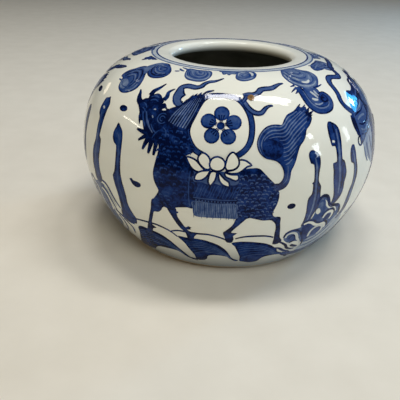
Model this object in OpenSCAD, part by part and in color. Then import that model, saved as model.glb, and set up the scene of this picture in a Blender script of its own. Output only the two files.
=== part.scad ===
// Porcelain water coupe: a squat globular pot with an incurved mouth and a low turned foot.
// Two thrown halves are luted together with slip at the belly, painted with cobalt lines
// round the mouth, and covered with clear glaze inside, outside and under the base.
// The outside is one convex curve of three tangent arcs. A point on it is named by the angle
// of its normal above the horizontal, so every layer is the same curve at another depth.

/* [Outside] */
// Diameter across the belly, over the glaze
belly_d = 110; // [96:1:124]
// Height of the widest point above the table
belly_z = 35.5; // [33:0.5:40]
// Radius of the arc round the side
side_r = 39; // [36:0.5:42]
// Radius of the arc over the shoulder
shoulder_r = 28.5; // [27:0.5:31]
// Radius of the arc of the lower wall
low_r = 60; // [52:0.5:68]
// Angle above the belly where the side passes into the shoulder
high_angle = 20; // [12:1:28]
// Angle below the belly where the side passes into the lower wall
low_angle = 18; // [10:1:24]

/* [Mouth] */
// Diameter of the mouth at its narrowest, over the glaze
mouth_d = 43; // [38:0.5:48]

/* [Foot] */
// Diameter across the foot ring
foot_d = 78; // [70:1:80]
// Width of the foot ring
foot_w = 4.4; // [3:0.1:6]
// Height of the foot line, where the lower wall starts
foot_h = 2; // [1.6:0.1:2.6]
// Depth of the recess inside the foot ring
recess_h = 2.6; // [2:0.1:4]
// Bevel on the edges of the foot ring
foot_bevel = 0.6; // [0.2:0.1:1]

/* [Walls] */
// Thickness of the porcelain wall
body_t = 3.3; // [2.4:0.1:4.4]
// Thickness of the porcelain floor
floor_t = 4; // [3:0.1:6]
// Radius inside, between the floor and the wall
fillet_r = 14; // [8:0.5:18]
// Thickness of each coat of glaze
glaze_t = 0.35; // [0.2:0.05:0.6]
// Thickness of the slip that joins the two halves
slip_t = 0.6; // [0.3:0.1:1.2]

/* [Painted lines] */
// White margin from the edge of the mouth to the middle of the first line
mouth_margin = 5.6; // [4.5:0.1:7]
// Distance between the middles of the two lines
line_gap = 1.8; // [1.4:0.1:3]
// Width of each line
line_w = 0.6; // [0.3:0.1:1]
// Thickness of the cobalt under the glaze
pigment_t = 0.12; // [0.05:0.01:0.18]

/* [Hidden] */

biscuit_colour = "#ece4d6";
slip_colour = "#e3d8c6";
glaze_colour = "#eef0ea";
cobalt_colour = "#2c3f8c";

// Largest turn between two points of a curve, and the facets of a full circle in previews
arc_step = 3;
$fn = 120;

wall_t = body_t + 2 * glaze_t;
biscuit_out = -glaze_t;
biscuit_in = -glaze_t - body_t;
floor_z = recess_h + floor_t;
foot_r = foot_d / 2;
foot_in_r = foot_r - foot_w;

function unit(angle) = [cos(angle), sin(angle)];
function reverse(list) = [for (i = [len(list) - 1:-1:0]) list[i]];
function steps(from, to) = max(1, ceil(abs(to - from) / arc_step - 0.001));
function arc(centre, radius, from, to) =
    [for (i = [0:steps(from, to)]) centre + radius * unit(from + (to - from) * i / steps(from, to))];
function sorted(list) =
    len(list) < 2 ? list : let (
        pivot = list[0],
        below = [for (x = list) if (x < pivot) x],
        above = [for (x = list) if (x > pivot) x]
    ) concat(sorted(below), [pivot], sorted(above));

// Centres of the three arcs, each tangent to the next
side_c = [belly_d / 2 - side_r, belly_z];
shoulder_c = side_c + (side_r - shoulder_r) * unit(high_angle);
low_c = side_c + (side_r - low_r) * unit(-low_angle);

// A point of the outside curve by its normal's angle, moved outwards by depth
function centre_at(angle) =
    angle < -low_angle ? low_c : angle < high_angle ? side_c : shoulder_c;
function radius_at(angle) =
    angle < -low_angle ? low_r : angle < high_angle ? side_r : shoulder_r;
function skin_point(angle, depth) = centre_at(angle) + (radius_at(angle) + depth) * unit(angle);

// The lip is a full round on the end of the wall, as wide as the glazed wall
lip_r = wall_t / 2;
lip_a = acos((mouth_d / 2 + lip_r - shoulder_c[0]) / (shoulder_r - lip_r));
lip_c = skin_point(lip_a, -lip_r);

// Where the wall meets the foot line, the slip and the painted lines
foot_a = -asin((low_c[1] - foot_h) / (low_r + biscuit_out));
seam_a = asin(slip_t / 2 / (side_r + biscuit_out));
inner_line_r = mouth_d / 2 + mouth_margin;
outer_line_r = inner_line_r + line_gap;
inner_line_a = acos((inner_line_r - shoulder_c[0]) / (shoulder_r + biscuit_out));
outer_line_a = acos((outer_line_r - shoulder_c[0]) / (shoulder_r + biscuit_out));
line_half_a = asin(line_w / 2 / (shoulder_r + biscuit_out));

// The fillet between floor and wall is tangent to both
fillet_reach = low_r + biscuit_in - fillet_r;
fillet_rise = floor_z + fillet_r - low_c[1];
fillet_c = [low_c[0] + sqrt(fillet_reach ^ 2 - fillet_rise ^ 2), floor_z + fillet_r];
fillet_a = asin(fillet_rise / fillet_reach);

// Every layer bends at the same angles, so that its face lies on its neighbour's
marks = sorted([
    foot_a, fillet_a, -low_angle, -seam_a, seam_a, high_angle,
    outer_line_a - line_half_a, outer_line_a + line_half_a,
    inner_line_a - line_half_a, inner_line_a + line_half_a, lip_a
]);
knots = concat(
    [
        for (i = [0:len(marks) - 2], k = [0:steps(marks[i], marks[i + 1]) - 1])
            marks[i] + (marks[i + 1] - marks[i]) * k / steps(marks[i], marks[i + 1])
    ],
    [lip_a]
);
knot_slack = 0.0001;
function path(depth, from, to) = [
    for (angle = knots)
        if (angle > from - knot_slack && angle < to + knot_slack) skin_point(angle, depth)
];
// The inside from the centre of the floor up to an angle, moved into the hollow by cover
function inside(cover, to) = concat(
    [[0, floor_z + cover]],
    arc(fillet_c, fillet_r - cover, -90, fillet_a),
    path(biscuit_in - cover, fillet_a, to)
);

module turned(outline) {
    rotate_extrude() polygon(outline);
}

// A band of the wall between two depths
module band(outer_depth, inner_depth, from, to) {
    turned(concat(path(outer_depth, from, to), reverse(path(inner_depth, from, to))));
}

// Lower half: floor, turned foot ring and wall up to the slip
module lower_body() {
    foot = [
        [0, recess_h],
        [foot_in_r, recess_h],
        [foot_in_r, foot_bevel],
        [foot_in_r + foot_bevel, 0],
        [foot_r - foot_bevel, 0],
        [foot_r, foot_bevel]
    ];
    color(biscuit_colour)
        turned(concat(foot, path(biscuit_out, foot_a, -seam_a), reverse(inside(0, -seam_a))));
}

// Upper half: wall from the slip over the shoulder to the round lip
module upper_body() {
    color(biscuit_colour)
        turned(concat(
            path(biscuit_out, seam_a, lip_a),
            arc(lip_c, body_t / 2, lip_a, lip_a + 180),
            reverse(path(biscuit_in, seam_a, lip_a))
        ));
}

// Ring of slip between the halves
module luting_slip() {
    color(slip_colour) band(biscuit_out, biscuit_in, -seam_a, seam_a);
}

// Coat outside, from the foot line to the crest of the lip, hollowed over the painted lines
module outer_glaze() {
    over_lines = concat(
        path(biscuit_out, foot_a, outer_line_a - line_half_a),
        path(biscuit_out + pigment_t, outer_line_a - line_half_a, outer_line_a + line_half_a),
        path(biscuit_out, outer_line_a + line_half_a, inner_line_a - line_half_a),
        path(biscuit_out + pigment_t, inner_line_a - line_half_a, inner_line_a + line_half_a),
        path(biscuit_out, inner_line_a + line_half_a, lip_a)
    );
    color(glaze_colour)
        turned(concat(
            path(0, foot_a, lip_a),
            arc(lip_c, lip_r, lip_a, lip_a + 90),
            arc(lip_c, body_t / 2, lip_a + 90, lip_a),
            reverse(over_lines)
        ));
}

// Coat inside, from the crest of the lip down over the floor
module inner_glaze() {
    color(glaze_colour)
        turned(concat(
            inside(glaze_t, lip_a),
            arc(lip_c, lip_r, lip_a + 180, lip_a + 90),
            arc(lip_c, body_t / 2, lip_a + 90, lip_a + 180),
            reverse(inside(0, lip_a))
        ));
}

// Coat under the base, inside the foot ring
module base_glaze() {
    color(glaze_colour)
        translate([0, 0, recess_h - glaze_t]) cylinder(r = foot_in_r, h = glaze_t);
}

// A painted line round the mouth, between the porcelain and the glaze
module mouth_line(angle) {
    color(cobalt_colour)
        band(biscuit_out + pigment_t, biscuit_out, angle - line_half_a, angle + line_half_a);
}

// Line nearer to the mouth
module inner_mouth_line() {
    mouth_line(inner_line_a);
}

// Line further from the mouth
module outer_mouth_line() {
    mouth_line(outer_line_a);
}

lower_body();
upper_body();
luting_slip();
outer_glaze();
inner_glaze();
base_glaze();
inner_mouth_line();
outer_mouth_line();
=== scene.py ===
import math

import bmesh
import bpy
from mathutils import Matrix, Vector


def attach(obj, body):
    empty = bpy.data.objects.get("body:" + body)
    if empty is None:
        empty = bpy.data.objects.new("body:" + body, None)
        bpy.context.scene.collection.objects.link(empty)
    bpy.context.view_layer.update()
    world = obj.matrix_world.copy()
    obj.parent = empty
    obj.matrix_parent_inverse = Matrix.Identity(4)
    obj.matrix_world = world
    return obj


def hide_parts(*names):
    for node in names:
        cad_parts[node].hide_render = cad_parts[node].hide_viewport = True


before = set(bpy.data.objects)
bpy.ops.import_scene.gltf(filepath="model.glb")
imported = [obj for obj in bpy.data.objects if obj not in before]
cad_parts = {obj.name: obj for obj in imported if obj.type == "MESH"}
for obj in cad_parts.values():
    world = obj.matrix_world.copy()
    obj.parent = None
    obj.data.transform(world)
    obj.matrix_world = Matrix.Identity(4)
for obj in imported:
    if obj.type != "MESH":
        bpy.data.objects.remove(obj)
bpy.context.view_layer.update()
print("frame loaded:", ", ".join(sorted(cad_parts)))

mm = 0.001

# The pot's own curve, in mm and degrees: three tangent arcs from the foot line to the mouth
pot = {
    "bellyRadius": 55, "bellyHeight": 35.5,
    "sideRadius": 39, "shoulderRadius": 28.5, "lowRadius": 60,
    "highAngle": 20, "lowAngle": 18,
    "mouthRadius": 21.5, "bodyThick": 3.3, "glazeThick": 0.35,
    "footRadius": 39, "footWidth": 4.4, "footHeight": 2, "footBevel": 0.6,
    "recessHeight": 2.6, "floorThick": 4, "filletRadius": 14, "slipThick": 0.6,
    "turnSteps": 192, "arcStep": 2, "sharpAngle": 35,
}


def unit(angle):
    return Vector((math.cos(angle), math.sin(angle)))


highAngle = math.radians(pot["highAngle"])
lowAngle = math.radians(pot["lowAngle"])
bellyRadius = pot["bellyRadius"]
sideCentre = Vector((bellyRadius - pot["sideRadius"], pot["bellyHeight"]))
shoulderCentre = sideCentre + (pot["sideRadius"] - pot["shoulderRadius"]) * unit(highAngle)
lowCentre = sideCentre + (pot["sideRadius"] - pot["lowRadius"]) * unit(-lowAngle)
skin = -pot["glazeThick"]
lipRadius = pot["bodyThick"] / 2 + pot["glazeThick"]
lipAngle = math.acos(
    (pot["mouthRadius"] + lipRadius - shoulderCentre.x) / (pot["shoulderRadius"] - lipRadius)
)
lipCentre = shoulderCentre + (pot["shoulderRadius"] - lipRadius) * unit(lipAngle)
footAngle = -math.asin((lowCentre.y - pot["footHeight"]) / (pot["lowRadius"] + skin))
seamAngle = math.asin(pot["slipThick"] / 2 / (pot["sideRadius"] + skin))
floorHeight = pot["recessHeight"] + pot["floorThick"]
filletReach = pot["lowRadius"] + skin - pot["bodyThick"] - pot["filletRadius"]
filletRise = floorHeight + pot["filletRadius"] - lowCentre.y
filletCentre = Vector(
    (lowCentre.x + math.sqrt(filletReach ** 2 - filletRise ** 2), floorHeight + pot["filletRadius"])
)
filletAngle = math.asin(filletRise / filletReach)


def wallPoint(angle, lift):
    # a point of the section by the angle of its normal, moved outwards by lift
    if angle < -lowAngle:
        return lowCentre + (pot["lowRadius"] + lift) * unit(angle)
    if angle < highAngle:
        return sideCentre + (pot["sideRadius"] + lift) * unit(angle)
    return shoulderCentre + (pot["shoulderRadius"] + lift) * unit(angle)


def angleAlong(rise):
    # rise is measured along the curve from the belly, in mm
    sideUp = pot["sideRadius"] * highAngle
    sideDown = pot["sideRadius"] * lowAngle
    if rise > sideUp:
        return highAngle + (rise - sideUp) / pot["shoulderRadius"]
    if rise < -sideDown:
        return -lowAngle + (rise + sideDown) / pot["lowRadius"]
    return rise / pot["sideRadius"]


def onPot(girth, rise, lift):
    # girth is measured round the belly from the front, in mm
    flat = wallPoint(angleAlong(rise), lift)
    turn = girth / bellyRadius
    return Vector((flat.x * math.sin(turn), -flat.x * math.cos(turn), flat.y)) * mm


def outward(girth, rise):
    angle = angleAlong(rise)
    turn = girth / bellyRadius
    across = math.cos(angle)
    return Vector((across * math.sin(turn), -across * math.cos(turn), math.sin(angle)))


def girthStretch(rise):
    # how much a girth at the belly is wider than the same girth at this rise
    return bellyRadius / wallPoint(angleAlong(rise), 0).x


def arcPoints(centre, radius, start, end):
    count = max(1, math.ceil(abs(end - start) / math.radians(pot["arcStep"])))
    return [centre + radius * unit(start + (end - start) * i / count) for i in range(count + 1)]


def wallPath(lift, start, end):
    count = max(1, math.ceil((end - start) / math.radians(pot["arcStep"])))
    return [wallPoint(start + (end - start) * i / count, lift) for i in range(count + 1)]


def insidePath(cover, end):
    # from the middle of the floor up the inside, moved into the hollow by cover
    return (
        [Vector((0, floorHeight + cover))]
        + arcPoints(filletCentre, pot["filletRadius"] - cover, -math.pi / 2, filletAngle)
        + wallPath(skin - pot["bodyThick"] - cover, filletAngle, end)
    )


# Camera, from the photograph's own view; distances in mm, angles in degrees
view = {
    "lens": 46.8, "distance": 206.36, "aimHeight": 33, "elevation": 20.607,
    "pan": 2.5545, "tilt": 6.609, "roll": -2.894,
    "shift": (-0.0013, 0.0024), "sensor": 36, "nearest": 10,
}
elevation = math.radians(view["elevation"])
cameraData = bpy.data.cameras.new("photoCamera")
cameraData.lens = view["lens"]
cameraData.sensor_width = view["sensor"]
cameraData.shift_x, cameraData.shift_y = view["shift"]
cameraData.clip_start = view["nearest"] * mm
camera = bpy.data.objects.new("photoCamera", cameraData)
bpy.context.scene.collection.objects.link(camera)
bpy.context.scene.camera = camera
place = Vector((0, -math.cos(elevation), math.sin(elevation))) * view["distance"] * mm
place.z += view["aimHeight"] * mm
camera.matrix_world = (
    Matrix.Translation(place)
    @ Matrix.Rotation(math.pi / 2 - elevation, 4, "X")
    @ Matrix.Rotation(math.radians(view["pan"]), 4, "Y")
    @ Matrix.Rotation(-math.radians(view["tilt"]), 4, "X")
    @ Matrix.Rotation(-math.radians(view["roll"]), 4, "Z")
)
bpy.context.scene.view_settings.view_transform = "Standard"
print("camera set")


# Materials
def newGroup(name, inputs, outputs):
    group = bpy.data.node_groups.new(name, "ShaderNodeTree")
    for socketName, value in inputs:
        socket = group.interface.new_socket(socketName, in_out="INPUT", socket_type="NodeSocketFloat")
        socket.default_value = value
    for socketName in outputs:
        group.interface.new_socket(socketName, in_out="OUTPUT", socket_type="NodeSocketFloat")
    start = group.nodes.new("NodeGroupInput")
    end = group.nodes.new("NodeGroupOutput")
    return group, start, end


def addNode(tree, kind, **settings):
    node = tree.nodes.new(kind)
    for key, value in settings.items():
        setattr(node, key, value)
    return node


def maths(tree, operation, first, second=None, clamp=False):
    node = addNode(tree, "ShaderNodeMath", operation=operation, use_clamp=clamp)
    for socket, value in zip(node.inputs, (first, second)):
        if isinstance(value, (int, float)):
            socket.default_value = value
        elif value is not None:
            tree.links.new(value, socket)
    return node.outputs[0]


def noise(tree, coords, scale, detail=2):
    node = addNode(tree, "ShaderNodeTexNoise")
    node.inputs["Detail"].default_value = detail
    if isinstance(scale, (int, float)):
        node.inputs["Scale"].default_value = scale
    else:
        tree.links.new(scale, node.inputs["Scale"])
    tree.links.new(coords, node.inputs["Vector"])
    return node.outputs["Fac"]


# Uneven tone between Low and High, with blotches of about 1 / Scale metres
mottleLook = {"least": 0.3, "most": 0.7, "detail": 3}
mottle, start, end = newGroup("mottle", [("Scale", 100), ("Low", 0), ("High", 1)], ["Value"])
coords = addNode(mottle, "ShaderNodeTexCoord").outputs["Object"]
spread = addNode(mottle, "ShaderNodeMapRange")
spread.inputs["From Min"].default_value = mottleLook["least"]
spread.inputs["From Max"].default_value = mottleLook["most"]
blotches = noise(mottle, coords, start.outputs["Scale"], mottleLook["detail"])
mottle.links.new(blotches, spread.inputs["Value"])
mottle.links.new(start.outputs["Low"], spread.inputs["To Min"])
mottle.links.new(start.outputs["High"], spread.inputs["To Max"])
mottle.links.new(spread.outputs["Result"], end.inputs["Value"])

# The skin of a fired glaze: slow ripples, a few pinholes and slightly uneven gloss
skinLook = {
    "pinholeCells": 110, "pinholeFrom": 0.86, "pinholeSize": 0.035, "pinholeDepth": 0.25,
    "ripple": 130, "peel": 420, "peelShare": 0.35, "patches": 60, "leastGloss": 0.5, "bump": 0.25,
}
glazeSkin, start, end = newGroup("glazeSkin", [("Gloss", 0.1)], ["Height", "Roughness", "Pinhole"])
coords = addNode(glazeSkin, "ShaderNodeTexCoord").outputs["Object"]
cells = addNode(glazeSkin, "ShaderNodeTexVoronoi")
cells.inputs["Scale"].default_value = skinLook["pinholeCells"]
glazeSkin.links.new(coords, cells.inputs["Vector"])
tint = addNode(glazeSkin, "ShaderNodeSeparateColor")
glazeSkin.links.new(cells.outputs["Color"], tint.inputs["Color"])
chosen = maths(glazeSkin, "GREATER_THAN", tint.outputs["Red"], skinLook["pinholeFrom"])
near = maths(glazeSkin, "LESS_THAN", cells.outputs["Distance"], skinLook["pinholeSize"])
pinhole = maths(glazeSkin, "MULTIPLY", chosen, near)
ripple = noise(glazeSkin, coords, skinLook["ripple"], 1)
peel = maths(glazeSkin, "MULTIPLY", noise(glazeSkin, coords, skinLook["peel"]), skinLook["peelShare"])
pit = maths(glazeSkin, "MULTIPLY", pinhole, skinLook["pinholeDepth"])
height = maths(glazeSkin, "SUBTRACT", maths(glazeSkin, "ADD", ripple, peel), pit)
glazeSkin.links.new(height, end.inputs["Height"])
patches = noise(glazeSkin, coords, skinLook["patches"])
uneven = maths(glazeSkin, "MULTIPLY", patches, start.outputs["Gloss"])
least = maths(glazeSkin, "MULTIPLY", start.outputs["Gloss"], skinLook["leastGloss"])
glazeSkin.links.new(maths(glazeSkin, "ADD", uneven, least), end.inputs["Roughness"])
glazeSkin.links.new(pinhole, end.inputs["Pinhole"])


def newMaterial(name):
    material = bpy.data.materials.new(name)
    material.use_nodes = True
    tree = material.node_tree
    return material, tree, tree.nodes["Principled BSDF"]


def placeGroup(tree, group, **values):
    node = addNode(tree, "ShaderNodeGroup", node_tree=group)
    for key, value in values.items():
        node.inputs[key].default_value = value
    return node


def mottled(tree, scale, low, high):
    return placeGroup(tree, mottle, Scale=scale, Low=low, High=high).outputs["Value"]


def blendColours(tree, factor, first, second):
    node = addNode(tree, "ShaderNodeMix", data_type="RGBA")
    colours = [socket for socket in node.inputs if socket.type == "RGBA"]
    for socket, value in zip(colours, (first, second)):
        if isinstance(value, tuple):
            socket.default_value = (*value, 1)
        else:
            tree.links.new(value, socket)
    tree.links.new(factor, node.inputs["Factor"])
    return next(socket for socket in node.outputs if socket.type == "RGBA")


def addBump(tree, shader, height, strength, depth):
    bump = addNode(tree, "ShaderNodeBump")
    bump.inputs["Strength"].default_value = strength
    bump.inputs["Distance"].default_value = depth
    tree.links.new(height, bump.inputs["Height"])
    tree.links.new(bump.outputs["Normal"], shader.inputs["Normal"])


def addSkin(tree, shader, gloss, depth):
    skinNode = placeGroup(tree, glazeSkin, Gloss=gloss)
    addBump(tree, shader, skinNode.outputs["Height"], skinLook["bump"], depth)
    tree.links.new(skinNode.outputs["Roughness"], shader.inputs["Roughness"])
    return skinNode


def byHeight(tree, bare, full):
    # 0 at one height on the pot, 1 at another
    where = addNode(tree, "ShaderNodeSeparateXYZ")
    tree.links.new(addNode(tree, "ShaderNodeTexCoord").outputs["Object"], where.inputs["Vector"])
    band = addNode(tree, "ShaderNodeMapRange")
    band.inputs["From Min"].default_value = bare
    band.inputs["From Max"].default_value = full
    tree.links.new(where.outputs["Z"], band.inputs["Value"])
    return band.outputs["Result"]


# Clear glaze: creamy, bluish in patches, and grey-blue towards the foot, partly where the glaze pools and
# partly painted shade for the shadow under the pot
glazeLook = {
    "white": (0.84, 0.835, 0.75), "bluish": (0.79, 0.81, 0.755), "pinhole": (0.40, 0.32, 0.22),
    "pooledAndShaded": (0.29, 0.33, 0.36), "poolShadeTop": 0.015, "poolShadeFoot": 0.003,
    "patches": 38, "mostBluish": 0.9, "gloss": 0.05, "specular": 0.45, "ripple": 0.0004,
}
glaze, tree, shader = newMaterial("clearGlaze")
skinNode = addSkin(tree, shader, glazeLook["gloss"], glazeLook["ripple"])
cast = mottled(tree, glazeLook["patches"], 0, glazeLook["mostBluish"])
body = blendColours(tree, cast, glazeLook["white"], glazeLook["bluish"])
# painted shade: below the belly the glaze colour darkens to grey-blue towards the foot, standing in for
# shadow as well as pooled glaze
poolAndShade = byHeight(tree, glazeLook["poolShadeTop"], glazeLook["poolShadeFoot"])
body = blendColours(tree, poolAndShade, body, glazeLook["pooledAndShaded"])
tree.links.new(
    blendColours(tree, skinNode.outputs["Pinhole"], body, glazeLook["pinhole"]), shader.inputs["Base Color"]
)
shader.inputs["Specular IOR Level"].default_value = glazeLook["specular"]

# Inside, painted shade: the glaze darkens in cloudy patches with depth below the mouth, standing in for the
# shadow in the hollow
insideShadeLook = {
    "paintedShade": (0.15, 0.15, 0.12), "unshadedFrom": 0.0654, "shadedFrom": 0.0625,
    "patches": 70, "leastShade": 0.8, "glossShare": 2,
}
shadedInsideGlaze, tree, shader = newMaterial("insideShadeGlaze")
addSkin(tree, shader, glazeLook["gloss"] * insideShadeLook["glossShare"], glazeLook["ripple"])
cloudy = mottled(tree, insideShadeLook["patches"], insideShadeLook["leastShade"], 1)
depth = byHeight(tree, insideShadeLook["unshadedFrom"], insideShadeLook["shadedFrom"])
# painted shade inside the mouth, darker further below the lip
insideShade = maths(tree, "MULTIPLY", depth, cloudy, True)
tree.links.new(
    blendColours(tree, insideShade, glazeLook["white"], insideShadeLook["paintedShade"]), shader.inputs["Base Color"]
)
shader.inputs["Specular IOR Level"].default_value = glazeLook["specular"]

# Cobalt under the glaze: each brush mark carries its tone, from bare white to the deepest blue
cobaltLook = {
    "tones": [
        (0.0, (0.84, 0.835, 0.75)), (0.12, (0.50, 0.55, 0.58)), (0.3, (0.16, 0.225, 0.37)),
        (0.45, (0.062, 0.107, 0.25)), (0.6, (0.026, 0.066, 0.22)), (0.75, (0.008, 0.036, 0.175)),
        (0.88, (0.004, 0.018, 0.105)), (1.0, (0.0015, 0.0055, 0.037)),
    ],
    "pools": 330, "poolTone": (0.8, 1.2), "grain": 1300, "grainTone": (0.9, 1.1),
    "specular": 0.11, "shaded": 0.03,
}
cobalt, tree, shader = newMaterial("cobaltBlue")
addSkin(tree, shader, glazeLook["gloss"], glazeLook["ripple"])
mark = addNode(tree, "ShaderNodeAttribute", attribute_name="tone").outputs["Fac"]
pool = mottled(tree, cobaltLook["pools"], *cobaltLook["poolTone"])
grain = mottled(tree, cobaltLook["grain"], *cobaltLook["grainTone"])
tone = maths(tree, "MULTIPLY", maths(tree, "MULTIPLY", mark, pool), grain, True)
ramp = addNode(tree, "ShaderNodeValToRGB")
stops = ramp.color_ramp.elements
for place, colour in cobaltLook["tones"][1:-1]:
    stops.new(place)
for stop, (place, colour) in zip(stops, cobaltLook["tones"]):
    stop.position = place
    stop.color = (*colour, 1)
tree.links.new(tone, ramp.inputs["Fac"])
tree.links.new(ramp.outputs["Color"], shader.inputs["Base Color"])
shader.inputs["Specular IOR Level"].default_value = cobaltLook["specular"]


def cobaltWith(name, specular):
    copy = cobalt.copy()
    copy.name = name
    copy.node_tree.nodes["Principled BSDF"].inputs["Specular IOR Level"].default_value = specular
    return copy


# The same blue high on the pot, where the glaze mirrors the lamps, and low down, where it mirrors shade
glossyCobalt = cobaltWith("glossyCobalt", glazeLook["specular"])
shadedCobalt = cobaltWith("shadedCobalt", cobaltLook["shaded"])

# Unglazed porcelain: sandy, and burnt a little orange in places
biscuitLook = {
    "pale": (0.66, 0.58, 0.47), "burnt": (0.47, 0.31, 0.19), "patches": 90, "mostBurnt": 0.55,
    "sand": 2200, "rough": (0.72, 0.92), "bump": 0.4, "depth": 0.0001,
}
biscuit, tree, shader = newMaterial("biscuit")
patch = mottled(tree, biscuitLook["patches"], 0, biscuitLook["mostBurnt"])
clay = blendColours(tree, patch, biscuitLook["pale"], biscuitLook["burnt"])
tree.links.new(clay, shader.inputs["Base Color"])
sand = mottled(tree, biscuitLook["sand"], *biscuitLook["rough"])
tree.links.new(sand, shader.inputs["Roughness"])
addBump(tree, shader, sand, biscuitLook["bump"], biscuitLook["depth"])

# A speck of iron that came through the glaze
ironLook = {"edge": (0.30, 0.17, 0.07), "heart": (0.09, 0.045, 0.02), "patches": 900}
iron, tree, shader = newMaterial("ironSpot")
addSkin(tree, shader, glazeLook["gloss"], glazeLook["ripple"])
patch = mottled(tree, ironLook["patches"], 0, 1)
tree.links.new(blendColours(tree, patch, ironLook["edge"], ironLook["heart"]), shader.inputs["Base Color"])
print("materials made")


# Pot
def finishPiece(name, bm, material, nodes=()):
    mesh = bpy.data.meshes.new(name)
    bm.to_mesh(mesh)
    bm.free()
    piece = bpy.data.objects.new(name, mesh)
    bpy.context.scene.collection.objects.link(piece)
    piece.data.materials.append(material)
    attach(piece, "root")
    if nodes:
        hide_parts(*nodes)
    return piece


def turnedPiece(name, section, material, nodes):
    # a closed section is spun round the pot's axis
    bm = bmesh.new()
    verts = [bm.verts.new((p.x * mm, 0, p.y * mm)) for p in section]
    edges = [bm.edges.new((verts[i - 1], verts[i])) for i in range(len(verts))]
    bmesh.ops.spin(
        bm, geom=verts + edges, cent=(0, 0, 0), axis=(0, 0, 1), dvec=(0, 0, 0),
        angle=math.tau, steps=pot["turnSteps"], use_merge=True,
    )
    bmesh.ops.remove_doubles(bm, verts=bm.verts, dist=1e-7)
    bmesh.ops.dissolve_degenerate(bm, edges=bm.edges, dist=1e-8)
    bmesh.ops.recalc_face_normals(bm, faces=bm.faces)
    piece = finishPiece(name, bm, material, nodes)
    piece.data.shade_smooth()
    piece.data.set_sharp_from_angle(angle=math.radians(pot["sharpAngle"]))
    print("turned", name, len(piece.data.polygons), "faces")
    return piece


outside = (
    wallPath(0, footAngle, lipAngle)
    + arcPoints(lipCentre, lipRadius, lipAngle, lipAngle + math.pi / 2)
    + arcPoints(lipCentre, pot["bodyThick"] / 2, lipAngle + math.pi / 2, lipAngle)
    + wallPath(skin, footAngle, lipAngle)[::-1]
)
inside = (
    insidePath(pot["glazeThick"], lipAngle)
    + arcPoints(lipCentre, lipRadius, lipAngle + math.pi, lipAngle + math.pi / 2)
    + arcPoints(lipCentre, pot["bodyThick"] / 2, lipAngle + math.pi / 2, lipAngle + math.pi)
    + insidePath(0, lipAngle)[::-1]
)
footIn = pot["footRadius"] - pot["footWidth"]
bevel = pot["footBevel"]
lowerBody = (
    [Vector((0, pot["recessHeight"])), Vector((footIn, pot["recessHeight"])), Vector((footIn, bevel))]
    + arcPoints(Vector((footIn + bevel, bevel)), bevel, math.pi, math.pi * 1.5)
    + arcPoints(Vector((pot["footRadius"] - bevel, bevel)), bevel, math.pi * 1.5, math.tau)
    + wallPath(skin, footAngle, -seamAngle)
    + insidePath(0, -seamAngle)[::-1]
)
turnedPiece("outerGlaze", outside, glaze, ["outer_glaze"])
turnedPiece("innerGlaze", inside, shadedInsideGlaze, ["inner_glaze"])
turnedPiece("lowerBody", lowerBody, biscuit, ["lower_body"])
for nodeName, material in (("upper_body", biscuit), ("luting_slip", biscuit), ("base_glaze", glaze)):
    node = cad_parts[nodeName]
    node.data.materials.clear()
    node.data.materials.append(material)


# Painting: each motif is laid out flat, girth across and rise up in mm, then wrapped round the pot
brush = {
    "step": 0.7, "cell": 1.5, "sunk": -0.06, "ground": 0.02,
    "levelRise": 0.016, "strokeRise": 0.0002, "strokeRises": 60,
    "centred": (0.5, 0.5), "alongRim": (0.95, 0.05), "ribbonEdge": 0.42, "edgeWidths": (0.35, 0.5, 0.25),
    "strandChange": 0.05, "ringStep": 24,
}
# Widths of a line at its start, middle and end, for the touches that come often
hair = (0.2, 0.4, 0.2)
thin = (0.3, 0.4, 0.3)
fine = (0.3, 0.5, 0.3)
soft = (0.3, 0.6, 0.3)
bold = (0.3, 0.7, 0.3)
foam = (0.5, 0.9, 0.5)
tuft = (1.0, 0.7, 0.15)


def newSheet():
    sheet = bmesh.new()
    sheet.verts.layers.float.new("tone")
    sheet.verts.layers.float.new("lift")
    return sheet


def smoothPath(points, closed=False):
    count = len(points)
    path = []
    for i in range(count if closed else count - 1):
        if closed:
            a, b, c, d = [Vector(points[(i + k) % count]) for k in (-1, 0, 1, 2)]
        else:
            a, b, c, d = [Vector(points[min(max(i + k, 0), count - 1)]) for k in (-1, 0, 1, 2)]
        pieces = max(1, round((c - b).length / brush["step"]))
        for j in range(pieces):
            t = j / pieces
            curve = (c - a) + t * (2 * a - 5 * b + 4 * c - d) + t * t * (3 * b - a - 3 * c + d)
            path.append(b + 0.5 * t * curve)
    if not closed:
        path.append(Vector(points[-1]))
    return path


def widthAt(widths, t):
    # start, middle and end width of a brush line, joined by a smooth swell
    return widths[0] * (1 - t) * (1 - 2 * t) + widths[1] * 4 * t * (1 - t) + widths[2] * t * (2 * t - 1)


def sideways(path, i, closed):
    # one mm to the left of a path at its point i, as the pot's surface measures it
    last = len(path) - 1
    before = path[i - 1] if i else path[-2 if closed else 0]
    after = path[i + 1] if i < last else path[1 if closed else last]
    stretch = girthStretch(path[i].y)
    run = Vector(((after.x - before.x) / stretch, after.y - before.y)).normalized()
    return Vector((-run.y * stretch, run.x))


def layPaint(sheet, verts, tones, level):
    tone = sheet.verts.layers.float["tone"]
    lift = sheet.verts.layers.float["lift"]
    height = brush["ground"] + level * brush["levelRise"]
    height += len(sheet.verts) % brush["strokeRises"] * brush["strokeRise"]
    for vert, value in zip(verts, tones):
        vert[tone] = value
        vert[lift] = height


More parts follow.
